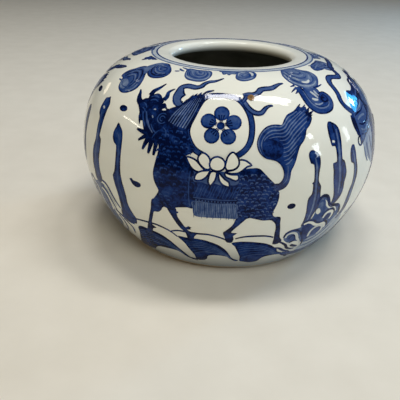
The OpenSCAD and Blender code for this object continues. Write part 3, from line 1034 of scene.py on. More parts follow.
# Second scene's head and ribbon, at the right
secondHead = {
    "tone": 0.52, "edge": 0.97, "edgeWidth": 1.2, "beardTone": 0.27, "cheekTone": 0.82,
    "ribbonTone": 0.7, "ribbonWidths": (1.6, 2.2, 2.0),
    "shape": [
        (50.2, 18.6), (50.6, 20.6), (52, 21.6), (54.4, 22), (58, 22.4), (61, 24), (63, 25.6), (66, 26),
        (67.4, 24), (68, 21), (67.4, 18.6), (65, 16.4), (62, 14.8), (58, 13), (55, 11.4), (52.6, 10.9),
        (52.2, 13.4), (51, 14.4), (50.4, 16.2),
    ],
    "cheek": [
        (53.4, 22), (53.6, 24.6), (55, 27.2), (57.6, 28.8), (60, 28.6), (63, 27.8), (66, 29), (72, 30.4),
        (78, 30), (78, 26), (72, 24), (64, 22.4), (58, 21.4),
    ],
    "beard": [
        (54, 11.4), (58, 12.8), (62, 14.6), (66, 17), (70, 17), (70, 8), (69, 2), (66, 0), (62, 2), (58, 5),
        (55.4, 8),
    ],
    "lines": [
        (0.95, (1.5, 1.4, 0.4), [(59, 27), (63, 27.6), (66, 28.6), (68, 30.6), (70.4, 31.2), (74, 31.2)]),
        (0.95, (1.6, 1.4, 0.4), [(60, 25), (66, 25), (70, 26.6), (75, 27.8), (80, 28.4)]),
        (0.95, (1.8, 2.4, 1.0), [(51, 21), (50.8, 18.4), (51.4, 16), (52.4, 14.4)]),
        (0.9, 0.6, ring((52.2, 12.2), 1.5, 1.5, 60, 330)),
        (0.9, (0.5, 0.7, 0.4), [(53, 20.4), (56, 20.8), (60, 21), (64, 22)]),
        (0.9, (0.5, 0.7, 0.4), [(54, 17.4), (57, 16.6), (61, 17), (65, 18.4)]),
        (0.3, (0.4, 0.8, 0.4), [(54, 18.8), (57, 19.4), (61, 19.2)]),
        (0.35, soft, [(54.4, 15.6), (57.4, 14.6), (61.4, 15.4)]),
        (0.32, bold, [(53, 21.4), (57, 21.8), (61, 22.6), (64, 24)]),
        (0.5, soft, [(58, 25), (62, 25.6), (67, 27), (72, 27.4)]),
        (0.5, soft, [(57, 23.4), (62, 23.9), (67, 25)]),
        (0.4, (0.4, 0.9, 0.4), [(54.6, 9.6), (55.8, 6.4), (58, 3.6)]),
        (0.85, (0.4, 0.7, 0.3), [(54, 14), (57.4, 13.2), (62, 14.2)]),
        (0.42, (0.4, 0.9, 0.4), [(57, 10.4), (58.6, 6.6), (61, 3.4)]),
        (0.42, (0.4, 0.9, 0.4), [(60.6, 11.6), (62, 8), (64.6, 4.4)]),
    ],
    "ribbon": [
        (90, 39.7), (84, 39.6), (78, 39.2), (72, 38.9), (68.6, 37.6), (67, 35.6), (64, 34.4), (60.6, 35),
        (57, 35.8), (53.6, 35.3), (51.2, 33.4), (50.6, 31), (50, 28.8), (48.9, 26.8), (49.4, 24.6),
        (51.4, 22.6), (53, 21.6),
    ],
}
sheet = newSheet()
wash(sheet, secondHead["beard"], secondHead["beardTone"])
wash(sheet, secondHead["cheek"], secondHead["cheekTone"], level=1)
outlined(
    sheet, secondHead["shape"], secondHead["tone"], secondHead["edge"], secondHead["edgeWidth"], level=2
)
strokes(sheet, secondHead["lines"], level=4)
ribbon(
    sheet, secondHead["ribbon"], secondHead["ribbonWidths"],
    secondHead["ribbonTone"], secondHead["edge"], level=3,
)
paintedPiece("secondHead", sheet, material=glossyCobalt)

# Waves along the foot, and the thin foam lines above them
waves = {
    "tones": (0.95, 0.86, 0.8), "edge": 1.0, "edgeWidth": 0.8,
    "strands": (3, 3), "strandWidths": (0.15, 0.34, 0.1), "strandTone": 0.52,
    "foamWidths": (0.5, 0.75, 0.5), "foamTone": 0.92,
    "shapes": [
        [(-40, -34), (-36.5, -28), (-34, -23.5), (-33.2, -20.4), (-32, -18.8), (-30, -18.2), (-27, -18.4),
         (-24, -18.7), (-21.5, -19.7), (-19.2, -21.6), (-17.5, -23.8), (-16, -26), (-14.4, -28.4),
         (-13.2, -30.4), (-11.6, -31.8), (-9.5, -32.2), (-13.5, -31.6), (-14.8, -30.4), (-16, -29),
         (-17.2, -27.8), (-19.2, -27.4), (-21.5, -27.6), (-24.5, -28), (-27.2, -29), (-29.5, -31),
         (-32, -33.5)],
        [(-15.4, -17.6), (-12, -17.6), (-8.5, -17.4), (-6, -17.6), (-3.6, -18.4), (-1.2, -19.6),
         (0.8, -21.4), (2.2, -23.4), (3.2, -25.6), (4, -27.4), (5, -28.8), (6.6, -29.8), (7.4, -30.6),
         (6, -30.8), (4.4, -29.4), (3.4, -28.4), (2.4, -27.2), (0.5, -26.6), (-2, -26.4), (-4.2, -26.9),
         (-5.2, -28), (-5.4, -29.4), (-6.2, -31), (-7.6, -31.8), (-10, -32), (-10.4, -28.5), (-11.2, -26),
         (-12.2, -23.6), (-13.2, -21), (-14.6, -19)],
        [(3.6, -18.2), (6.5, -17.4), (10, -17.6), (13, -18.2), (15.5, -19), (18, -20.4), (20, -22.2),
         (21.5, -23.8), (22.4, -25.6), (25.5, -27.6), (28, -30), (30, -32), (26.5, -30), (24.5, -28.4),
         (22, -27.8), (19.5, -28), (17.8, -28.4), (16.8, -29.4), (16, -31.4), (14.5, -32.4), (12, -32.4),
         (10, -31.6), (8, -30.6), (7.6, -27.5), (6.8, -25), (5.8, -22.4), (4.8, -20)],
    ],
    "guides": [
        [[(-33.4, -21.6), (-31, -19.8), (-27, -19.6), (-23, -20.2), (-20, -22.2), (-17.4, -25.4),
          (-14.6, -29.4)],
         [(-34.6, -25.4), (-31.6, -23), (-27.4, -22.4), (-23.4, -22.8), (-20.4, -24.2), (-17.8, -26.4),
          (-15, -29.6)],
         [(-36, -30), (-32.4, -28), (-28.2, -26.6), (-24.4, -26.2), (-20.8, -26), (-18, -26.8),
          (-15.4, -29.6)]],
        [[(-13.6, -19), (-10, -18.6), (-6.4, -18.8), (-3, -20), (-0.2, -22.2), (2.2, -25.4), (4.6, -29)],
         [(-12, -22.6), (-9.4, -21.6), (-6.2, -21.4), (-3.2, -22.2), (-0.6, -23.8), (1.8, -26), (4.4, -29)],
         [(-10.6, -28.6), (-8.6, -26.6), (-6, -25.4), (-3.4, -25.2), (-1, -25.6), (1.2, -26.2),
          (3.8, -28.4)]],
        [[(5.2, -19.2), (8.6, -18.6), (12.4, -19.2), (16, -20.6), (19, -22.8), (21.4, -25.2), (25, -28)],
         [(6.6, -22.6), (9.6, -21.8), (12.8, -22.2), (16, -23.2), (18.8, -24.8), (21.4, -26.4),
          (25, -28.2)],
         [(8.4, -29), (10.8, -27.4), (13.2, -26.6), (15.8, -26.6), (18.4, -27.2), (21.2, -27.2),
          (25, -28.4)]],
    ],
    "foam": [
        [(-34, -15.6), (-32, -15.2), (-29, -14.7), (-26, -14.4), (-23.5, -14.3), (-21.5, -14.6),
         (-19.5, -15.2), (-18.2, -15.8), (-16.8, -16.8), (-15.6, -18)],
        [(-17.6, -15.8), (-16, -15), (-14, -14.6), (-8, -14.6), (-5, -14.4), (-3, -14.7), (-1, -15.3),
         (0.6, -16), (1.6, -16.8), (2, -17.6)],
        [(4.6, -15.8), (6.6, -15), (9, -14.6), (12, -14.6), (14.5, -14.8), (16.6, -15.4), (17.8, -16)],
    ],
}
sheet = newSheet()
for shape, guides, tone in zip(waves["shapes"], waves["guides"], waves["tones"]):
    outlined(sheet, shape, tone, waves["edge"], waves["edgeWidth"])
    fan(sheet, guides, waves["strands"], waves["strandWidths"], waves["strandTone"])
for line in waves["foam"]:
    stroke(sheet, line, waves["foamWidths"], waves["foamTone"])
paintedPiece("waves", sheet, around["scene"], shadedCobalt)

# Breakers at both sides of the scene: one wide wash, darker hollows on it, then lines and foam
breakersRight = {
    "washes": [
        (0.44, [(22, -16.5), (23, -14), (25.4, -13.4), (27.4, -13), (27.4, -11.6), (29.6, -10.6),
            (31, -9), (31.4, -4.6), (32, -2.4), (33.6, -1.6), (35.4, -2.6), (36.6, -5), (38.6, -6.2),
            (41, -7), (43, -9.2), (44.4, -12), (44, -16), (41, -19), (38, -21), (34, -22.6), (31, -22),
            (28, -20.5), (25, -20.6), (22.6, -18.6)]),
        (0.8, [(28, -12.6), (30, -11.6), (32.4, -12.6), (34, -14), (33, -16), (32.6, -18.6),
            (33.6, -20.6), (31.6, -20.8), (29.8, -19), (28.6, -16.4)]),
        (0.6, [(31.4, -8.6), (33.6, -8.4), (35, -9.6), (35.2, -11.4), (36.6, -13), (34.6, -13.2),
            (32.6, -12), (31.2, -10.6)]),
        (0.85, [(36.8, -11), (38, -10.1), (39.4, -10.8), (39.6, -12.2), (38.2, -13), (36.6, -12.6)]),
        (0.6, [(34.2, -17.2), (35.4, -16), (37, -16), (38, -17.4), (37.8, -19), (36, -19.8), (34.4, -19)]),
        (0.55, [(22.6, -16.8), (23, -15.2), (24.8, -14.6), (26.8, -15.4), (28, -17.6), (28.4, -19.8),
            (26.6, -20), (24.6, -19.4)]),
        (0.2, [(34, -21), (38, -20.4), (41, -17.6), (43.6, -13), (48, -14), (50.4, -18), (50.6, -21),
            (49, -24.4), (46.4, -28), (44, -31), (36, -30), (32, -27), (32.6, -23.6)]),
    ],
    "lines": [
        (0.9, (0.9, 1.2, 0.7), [(31.2, -4.4), (32, -2.4), (33.4, -1.7), (35, -2.3), (36, -3.9),
            (36.7, -5.5), (38, -6.6), (40, -7), (42, -7.6), (43.6, -9.4), (44.6, -12)]),
        (0.6, (0.7, 1.1, 1.2), [(32.2, -3.9), (33.4, -3.3), (34.3, -4.4), (34.6, -6), (35, -8),
            (34.6, -9.6)]),
        (0.92, (0.6, 0.9, 0.5), [(35.2, -10.6), (35.8, -8.9), (37.8, -8), (39.8, -8.5), (41.2, -10.4),
            (41.2, -12.6)]),
        (0.03, (0.7, 1.1, 0.6), [(36.2, -11.4), (36.6, -9.8), (38.1, -9.1), (39.9, -9.7), (40.5, -11.4),
            (40, -13)]),
        (0.92, (0.6, 0.9, 0.5), [(27.6, -11.2), (29.8, -10.6), (32, -11.2), (33.6, -12.4), (35.4, -13.2),
            (37.6, -13.2), (39.6, -14.3), (40.8, -16.6)]),
        (0.03, (0.7, 1.1, 0.6), [(28.2, -12), (29.8, -11.5), (31.6, -12.1), (33.2, -13.3), (35, -14),
            (37.2, -14), (39, -15.2), (40, -17.2)]),
        (0.08, (0.7, 1.1, 0.6), [(33.2, -19.6), (33, -16.8), (34.4, -15.1), (36.6, -14.9), (38.5, -16.1),
            (38.9, -18.2), (37.6, -19.9)]),
        (0.85, (0.4, 0.6, 0.4), [(34, -18.8), (34.2, -16.8), (35.6, -15.7), (37.4, -16.2), (38, -18)]),
        (0.9, (0.6, 0.8, 0.5), [(22, -17), (22.3, -15), (24, -13.9), (26, -14), (28, -15.4),
            (29.4, -17.6), (30.8, -19.8), (32, -22), (32.6, -24.4)]),
        (0.9, (0.5, 0.8, 0.6), [(24.4, -18.2), (24.8, -17), (26, -16.7), (27.1, -18), (26.9, -19.8),
            (25.4, -20.8)]),
        (0.92, (0.5, 1.0, 0.7), [(19.6, -18.2), (22, -19.8), (24.4, -21.8), (25.8, -24), (28, -25.4),
            (30, -25.8)]),
        (0.92, (0.8, 1.2, 0.8), [(26.8, -22.4), (28.6, -23.6), (30.8, -24.6)]),
        (0.92, (0.8, 1.0, 0.9), [(19.6, -22.6), (22.2, -23.3), (24.8, -25.4), (28, -27.4), (30.4, -30)]),
        (0.6, (0.5, 0.8, 0.5), [(33, -22.6), (36, -22.4), (40, -20.6), (42.6, -17)]),
        (0.6, (0.5, 0.8, 0.5), [(33, -25.4), (37, -25.4), (42, -23.6), (46, -19.6)]),
        (0.7, foam, [(32, -28.4), (37, -29), (43, -27.6), (48, -23.6)]),
        (0.04, (0.6, 1.1, 0.6), [(33, -3.1), (34.4, -3.9), (35.6, -5.4), (37.4, -7), (40, -8), (41.8, -10)]),
        (0.05, (0.6, 1.6, 0.6), [(24.8, -20.8), (26, -21.4), (27.4, -22.6)]),
        (0.08, (0.6, 1.0, 0.5), [(22.8, -17.4), (23, -15.9), (24.4, -15.2), (26, -15.6), (27.2, -17),
            (28.2, -19), (29.8, -21), (31.2, -23)]),
        (0.03, (0.8, 1.8, 0.8), [(31.9, -6.2), (32.4, -7.4), (33.2, -8.4)]),
        (0.85, foam, [(28.6, -14), (30, -13.4), (31.4, -14.6), (31.6, -17.4), (33, -20.4)]),
        (0.85, (1.4, 3.0, 1.6), [(25, -27.4), (29, -29.4), (38, -31), (43, -30), (47, -27.4)]),
        (0.15, (0.4, 0.8, 0.4), [(34, -23.8), (38, -23.4), (42, -21), (45, -17)]),
    ],
}
breakersLeft = {
    "washes": [
        (0.45, [(-60.4, -10), (-59, -7.6), (-56.6, -7), (-54.8, -8.2), (-52.6, -7), (-50, -6.6),
            (-47, -6.4), (-45, -7.6), (-44.4, -10), (-44.6, -14), (-45, -18), (-44, -22), (-47, -26),
            (-52, -27.4), (-57, -26.4), (-61, -24.4), (-63, -21.6), (-63, -18.4), (-61.4, -16),
            (-61.6, -13)]),
        (0.8, [(-57.4, -9.6), (-55.4, -10.4), (-54.2, -13), (-55, -16), (-57, -17), (-57.6, -15),
            (-56.8, -12.6)]),
        (0.8, [(-59.6, -18.4), (-57.6, -18.6), (-55.6, -20.4), (-54.6, -23.4), (-56, -25), (-57.4, -23),
            (-58.4, -20.4)]),
    ],
    "lines": [
        (0.75, (0.7, 1.0, 0.6), [(-47.4, -5), (-45, -5.3), (-43.4, -6.6), (-42, -9), (-40.6, -11.5),
            (-39.4, -13.4)]),
        (0.0, (0.6, 1.1, 0.7), [(-49, -8.6), (-47, -9.2), (-45.6, -11), (-45.2, -14), (-46, -17)]),
        (0.75, (0.5, 0.8, 0.4), [(-50, -11), (-48, -12), (-47.4, -14.4), (-48.4, -17)]),
        (0.7, (0.6, 0.9, 0.5), [(-43, -18), (-41.6, -20.6), (-42, -24), (-45, -28)]),
        (0.7, (0.6, 0.9, 0.5), [(-40.6, -19), (-38.6, -20.2), (-37.2, -22.4), (-38.4, -26)]),
        (0.15, (0.5, 0.9, 0.4), [(-46.4, -6.8), (-44.4, -8), (-42.8, -10.6), (-41.6, -13.4)]),
        (0.8, (0.5, 0.9, 0.4), [(-48.6, -7), (-46, -8.4), (-44.2, -11), (-43.2, -14.4), (-43, -17)]),
        (0.8, foam, ring((-47.6, -14.6), 1.6, 2.2, 120, -320, 0.5)),
        (0.85, (0.8, 1.4, 0.8), [(-44, -16), (-41, -17.4), (-37.6, -18.6), (-34.4, -18.8)]),
        (0.75, (0.6, 1.0, 0.5), [(-52, -14), (-50.6, -18), (-48, -21.6), (-45, -23.6)]),
        (0.9, foam, [(-54.6, -8), (-56.6, -6.9), (-59, -7.5), (-60.6, -10), (-61.4, -12.6),
            (-60.6, -14.6), (-58.8, -14.4), (-58.6, -12.6)]),
        (0.05, (0.5, 1.0, 0.5), [(-54.6, -9.4), (-56.6, -8.2), (-58.6, -8.9), (-59.8, -11), (-60.2, -13)]),
        (0.9, foam, [(-58.6, -16), (-61.2, -16), (-63, -18.4), (-63, -21.6), (-61, -24), (-59, -23.6),
            (-58.8, -21.8), (-60, -21)]),
        (0.05, (0.5, 1.0, 0.5), [(-58.6, -17.2), (-60.8, -17.4), (-61.8, -19), (-61.8, -21.4),
            (-60.4, -22.8)]),
        (0.05, (0.5, 1.0, 0.5), [(-53.4, -9), (-52.8, -12), (-53.2, -16), (-54.4, -18.6)]),
        (0.05, foam, [(-52.6, -17), (-53, -20.6), (-53.4, -24), (-52.6, -26.4)]),
        (0.8, (0.6, 1.2, 0.6), [(-45, -28), (-50, -29.4), (-56, -29), (-61, -27.4), (-65.4, -24.6)]),
        (0.5, (0.4, 0.8, 0.4), [(-50, -31), (-56, -31), (-62, -29.6), (-66, -27.4)]),
    ],
}
for name, breakers, places in (
    ("breakersRight", breakersRight, around["right"]), ("breakersLeft", breakersLeft, around["left"]),
):
    sheet = newSheet()
    for i, (tone, shape) in enumerate(breakers["washes"]):
        wash(sheet, shape, tone, level=min(i, 1))
    strokes(sheet, breakers["lines"])
    paintedPiece(name, sheet, places)

# Clouds round the shoulder: outlined washes, then curled lines
cloudsMiddle = {
    "edgeWidth": 0.7, "level": 0, "lineLevel": 2, "hooks": [], "washes": [],
    "shapes": [
        (0.46, 0.8, [(-25.6, 43.4), (-24.6, 44.4), (-20, 44.2), (-15, 44.4), (-12, 44.4), (-10.4, 43.4),
            (-9.8, 41.8), (-10.2, 39.8), (-11.8, 38), (-14.5, 37.2), (-17.5, 37.2), (-20.5, 37.6),
            (-22.8, 38.8), (-24.2, 40.6), (-25, 42.2)]),
        (0.42, 0.75, [(2.6, 41.6), (2.8, 40.2), (4.4, 39.2), (6.4, 38.9), (9, 39.3), (11.6, 40.2),
            (13.4, 41.6), (14.4, 43.2), (14, 44.8), (12.4, 45.8), (9.6, 46), (6, 45.6), (3.4, 45),
            (3.2, 43.4)]),
        (0.36, 0.6, [(-7, 44.8), (-5.4, 44.4), (-4.6, 43.2), (-4, 42.4), (-3, 42.6), (-2.2, 43.2),
            (-1.4, 42.4), (-0.6, 42.2), (0, 42.8), (1, 43.2), (2.6, 43), (3.4, 44), (3, 45), (0, 45.2),
            (-4, 45.2)]),
    ],
    "lines": [
        (0.3, fine, [(-24, 42), (-22.6, 39.6), (-20, 38.5), (-16.6, 38), (-13.4, 38.3), (-11.4, 39.6),
            (-10.9, 41.4), (-11.6, 43), (-13, 43.8)]),
        (0.66, fine, [(-22.8, 42.8), (-21.2, 40.3), (-18.4, 39.2), (-15, 39), (-12.6, 40), (-12.2, 41.6),
            (-13.2, 43.2)]),
        (0.34, thin, [(-21.4, 42.8), (-19.8, 40.9), (-17.4, 39.8), (-14.8, 39.8), (-13.2, 40.9),
            (-13, 42.2)]),
        (0.64, thin, [(-20, 42.8), (-18.6, 41.4), (-16.8, 40.5), (-14.8, 40.7), (-13.9, 41.8), (-14.6, 43)]),
        (0.36, thin, [(-18.8, 43), (-17.4, 41.8), (-16, 41.3), (-14.9, 41.8), (-15.4, 42.9)]),
        (0.7, fine, [(-17.8, 43.2), (-16.8, 42.4), (-15.9, 42.2), (-15.9, 42.9)]),
        (0.66, thin, [(-24.2, 43.4), (-23.2, 41.2), (-22, 39.8)]),
        (0.5, (0.9, 0.7, 0.4), [(-25.2, 43.4), (-27.4, 43.8), (-29.6, 44.2)]),
        (0.7, (0.3, 0.8, 0.4), [(-25.8, 41.8), (-28, 42.2), (-30, 43)]),
        (0.7, bold, [(-28.4, 41.5), (-29.6, 41.1), (-31, 41)]),
        (0.26, fine, [(4.2, 42.2), (4.6, 43.6), (6.2, 44.4), (8.2, 44.4)]),
        (0.12, (0.3, 0.9, 0.3), [(11.4, 42), (12, 43.4), (11, 45)]),
        (0.28, thin, [(5, 40.2), (7.4, 39.9), (10, 40.4), (11.6, 41.4)]),
        (0.62, (0.3, 0.5, 0.4), ring((7.6, 42.4), 2.0, 1.7, 150, -400, 0.35)),
        (0.66, fine, [(4, 41), (6.4, 40.6), (9, 41), (10.6, 42.2), (10.4, 44), (8.6, 45)]),
        (0.6, fine, [(12.8, 42), (13.4, 43.6), (12.4, 45)]),
    ],
}
cloudsLeft = {
    "edgeWidth": 0.8, "level": 0, "washLevel": 2, "lineLevel": 4, "hooks": [],
    "shapes": [
        (0.6, 0.92, [(-57.6, 31.2), (-58.2, 32.8), (-57.2, 34.6), (-55.4, 36), (-54, 37.6), (-52.2, 38.8),
            (-50, 39.2), (-47.6, 38.8), (-45.4, 37), (-43.2, 35), (-41.6, 33.2), (-40.7, 31.2),
            (-40.9, 29.4), (-42.2, 28), (-44.2, 26.9), (-46.8, 26.3), (-49.4, 26.5), (-51.8, 27.4),
            (-53.4, 28.8), (-54.4, 30.2), (-55.6, 31)]),
        (0.6, 0.92, [(-47.6, 40.4), (-46.2, 42.6), (-45, 44), (-41, 44.4), (-37, 43), (-33.6, 41.2),
            (-32, 39.6), (-31.9, 37.8), (-33, 36.4), (-35.6, 35.4), (-38.6, 35), (-41.4, 35.4),
            (-43.6, 36.2), (-45.4, 37.6)]),
        (0.72, 0.92, [(-66.8, 44.3), (-62, 44.7), (-55, 44.6), (-56.2, 43.6), (-58.2, 43.2),
            (-59.2, 42.2), (-60.6, 42.5), (-61.6, 41.2), (-63.4, 40.5), (-64.2, 41.7), (-66, 42.2),
            (-65.4, 43.3)]),
        (0.78, 0.92, [(-74, 31.2), (-70, 31.8), (-66.5, 33), (-64.5, 34), (-63.4, 34.8), (-65.4, 35),
            (-68, 34.5), (-72, 33.4)]),
    ],
    "washes": [
        (0.34, [(-54, 30), (-52.8, 28.6), (-50.8, 27.7), (-48.6, 27.5), (-47.4, 28.4), (-47.8, 30),
            (-49.8, 31), (-52, 31.2)]),
        (0.42, [(-50, 38.6), (-49.4, 41), (-47, 43.6), (-44, 44), (-44.6, 41), (-45.4, 38.4), (-44, 36),
            (-45.6, 36), (-47.8, 37.6)]),
    ],
    "lines": [
        (0.9, soft, [(-56.6, 32.6), (-54.4, 35), (-51.6, 36.8), (-48.4, 36.6), (-45.6, 35), (-43.6, 32.6),
            (-43.2, 30.4)]),
        (0.9, soft, [(-55, 32), (-52.6, 34.4), (-49.8, 35), (-47.2, 34), (-45.4, 32.4), (-45, 30.6),
            (-46, 29)]),
        (0.85, fine, [(-52.6, 31.8), (-50.4, 33.2), (-48.2, 32.8), (-46.8, 31.6), (-46.8, 30.2)]),
        (0.42, thin, [(-54.4, 33.4), (-51.6, 35.6), (-48.6, 35.6), (-46, 34), (-44.3, 31.8), (-44.4, 29.6)]),
        (0.4, thin, [(-52.4, 32.7), (-50, 34), (-47.8, 33.2), (-46.2, 31.8)]),
        (0.42, fine, [(-53.4, 36), (-50.6, 37.8), (-47.8, 37.4), (-45.2, 35.8)]),
        (0.34, soft, [(-42.6, 31), (-42.4, 29.6), (-43.6, 28.3), (-46, 27.4)]),
        (0.55, fine, [(-52.6, 29.6), (-50.6, 28.6), (-48, 28.4), (-46, 29)]),
        (0.6, (0.5, 0.6, 0.2), [(-54.2, 30), (-55.4, 29.9), (-56.6, 30)]),
        (0.36, (0.4, 0.6, 0.4), [(-43.5, 39.8), (-41.4, 38.6), (-39, 38), (-36.8, 38), (-34.6, 38.6)]),
        (0.36, fine, [(-42.6, 41.2), (-41, 40), (-39, 39.4), (-37, 39.6)]),
        (0.4, soft, [(-44, 42.6), (-41.4, 42.2), (-39, 42.2)]),
        (0.9, soft, [(-45.6, 41), (-44.4, 38.8), (-41.6, 37), (-38, 36.5), (-34.8, 37.2), (-33.2, 38.4)]),
        (0.85, fine, [(-44.6, 41.6), (-43, 39.2), (-40.6, 38), (-38, 37.3), (-35.4, 37.8)]),
        (0.85, fine, ring((-38.8, 40.4), 2.4, 1.5, 180, -400, 0.3)),
    ],
}
farCloud = {
    "edgeWidth": 0.8, "level": 4, "lineLevel": 6, "hooks": [], "washes": [],
    "shapes": [
        (0.62, 0.92, [(-98, 41), (-96, 44), (-90, 44.6), (-84, 44.3), (-80.4, 42.8), (-78, 41),
            (-77.4, 39.6), (-79.4, 38.6), (-83, 38), (-87, 37.2), (-92, 37), (-96, 38.4)]),
        (0.75, 0.92, [(-83.6, 26.2), (-80, 26.8), (-77, 28.2), (-74.2, 30.2), (-71.6, 32), (-73, 33.2),
            (-76, 32), (-79, 29.6), (-82, 27.8)]),
    ],
    "lines": [
        (0.42, fine, [(-94, 38.8), (-88, 38.6), (-83, 39.4), (-80, 40.6)]),
        (0.42, fine, [(-93, 42.6), (-88, 42.8), (-84, 42.2), (-81.6, 41.2)]),
        (0.85, fine, ring((-87.4, 40.8), 2.4, 1.2, 180, -400, 0.3)),
    ],
}
cloudsRight = {
    "edgeWidth": 0.7, "level": 0, "hookLevel": 3, "washLevel": 4, "lineLevel": 5,
    "shapes": [
        (0.4, 0.7, [(28.2, 41), (28.4, 38.4), (29.6, 36.6), (31, 35.6), (34, 33.8), (37, 33.2),
            (40.4, 33.4), (43, 34.4), (46, 36.2), (48.2, 38), (48.6, 40), (47.6, 41.8), (45, 43),
            (42, 45.4), (38, 45.8), (34, 45.6), (31.6, 45), (29.6, 43.2)]),
        (0.6, 0.9, [(32, 33.6), (32.4, 30), (33.8, 27.4), (37, 26.4), (40, 27), (42, 28.4), (41.6, 30.2),
            (40.4, 31.8), (40, 33.4), (36, 34)]),
        (0.6, 0.85, [(53.6, 41), (55, 42.6), (58, 43.8), (62, 44.3), (68, 44.4), (74, 43.6), (74, 40.8),
            (68, 39.9), (62, 39.7), (57, 40), (54.4, 40.4)]),
    ],
    "hooks": [
        (0.72, 0.95, (2.2, 2.4, 0.9), [(31, 35), (31.2, 32.6), (31.4, 29.6), (32.4, 27.2), (34.6, 25.6),
            (37.6, 25.2), (40.4, 25.5), (42.3, 26.8), (43, 28.7), (42.4, 30.4), (40.8, 30.9),
            (39.3, 30.4), (38.6, 29.2), (39.4, 28.6)]),
    ],
    "washes": [
        (0.74, [(37.4, 26.6), (40.4, 26), (42.6, 27.4), (42.4, 29.8), (40.4, 31), (38.4, 30.2),
            (37.8, 28.4)]),
    ],
    "lines": [
        (0.25, soft, [(29.6, 41.6), (29.6, 38.8), (31, 37), (34, 35.3), (37.4, 34.7), (41, 35), (44, 36.2)]),
        (0.62, fine, [(30.6, 43), (30.8, 40), (32, 38.2), (34.4, 36.4), (37.6, 35.7), (40.6, 35.9),
            (43.4, 37), (45.4, 39)]),
        (0.3, fine, [(31.8, 43.6), (32, 40.8), (33.4, 38.9), (36, 37.6), (39, 37.2), (42, 38),
            (43.8, 39.4)]),
        (0.6, fine, [(33, 43.6), (33.2, 41.4), (34.6, 39.8), (37, 38.8), (39.8, 38.6), (42, 39.4)]),
        (0.3, fine, [(34.4, 43), (35, 41.4), (36.8, 40.2), (39.2, 39.8), (41.2, 40.4)]),
        (0.62, fine, [(36, 42.8), (37, 41.6), (38.8, 41), (40.8, 41.4), (41.6, 42.4), (40, 43.4)]),
        (0.08, (0.3, 1.0, 0.3), [(35.4, 36.9), (38, 36.3), (40.6, 37.2)]),
        (0.08, bold, [(33, 39.6), (34.2, 38.4), (35.6, 37.8)]),
        (0.6, fine, [(43.6, 42.6), (45.4, 41.2), (46.6, 39.4)]),
        (0.8, (0.9, 0.6, 0.2), [(30, 35.8), (28.8, 35.6), (27.6, 35.4)]),
        (0.8, (0.9, 0.6, 0.2), [(30.4, 34.8), (28.4, 34), (26.4, 33)]),
        (0.8, (0.8, 0.6, 0.2), [(30.4, 33.8), (29, 32.8), (28, 32.3)]),
        (0.85, (0.7, 0.6, 0.2), [(39, 33.6), (42, 33.8), (45.2, 34.2)]),
        (0.15, (0.4, 0.8, 0.4), [(35.6, 32.4), (36.6, 31), (37.4, 29.6)]),
        (0.2, bold, [(37.8, 32.6), (38, 31.2), (38.6, 30.4)]),
        (0.12, (0.4, 0.9, 0.4), [(34.4, 29.8), (35.4, 29.2), (37, 29)]),
        (0.25, fine, [(34.4, 27.8), (36.2, 27.3), (38.4, 27.6)]),
        (0.95, (0.4, 0.7, 0.4), ring((40, 28.9), 1.9, 1.6, 60, -420, 0.2)),
        (0.4, (0.3, 0.5, 0.2), [(32.2, 33), (32.4, 29.8), (33.4, 27.6), (35.4, 26.2), (38, 25.9),
            (40.6, 26.4), (42, 27.8)]),
        (0.4, fine, [(56, 41.4), (60, 42.2), (66, 42.6)]),
    ],
}
for name, clouds, places in (
    ("cloudsMiddle", cloudsMiddle, around["scene"]), ("cloudsLeft", cloudsLeft, around["left"]),
    ("farCloud", farCloud, (0,)), ("cloudsRight", cloudsRight, around["right"]),
):
    sheet = newSheet()
    for tone, edge, shape in clouds["shapes"]:
        outlined(sheet, shape, tone, edge, clouds["edgeWidth"], clouds["level"])
    for tone, edge, widths, line in clouds["hooks"]:
        ribbon(sheet, line, widths, tone, edge, clouds["hookLevel"])
    for tone, shape in clouds["washes"]:
        wash(sheet, shape, tone, clouds["washLevel"])
    strokes(sheet, clouds["lines"], clouds["lineLevel"])
    paintedPiece(name, sheet, places, glossyCobalt)

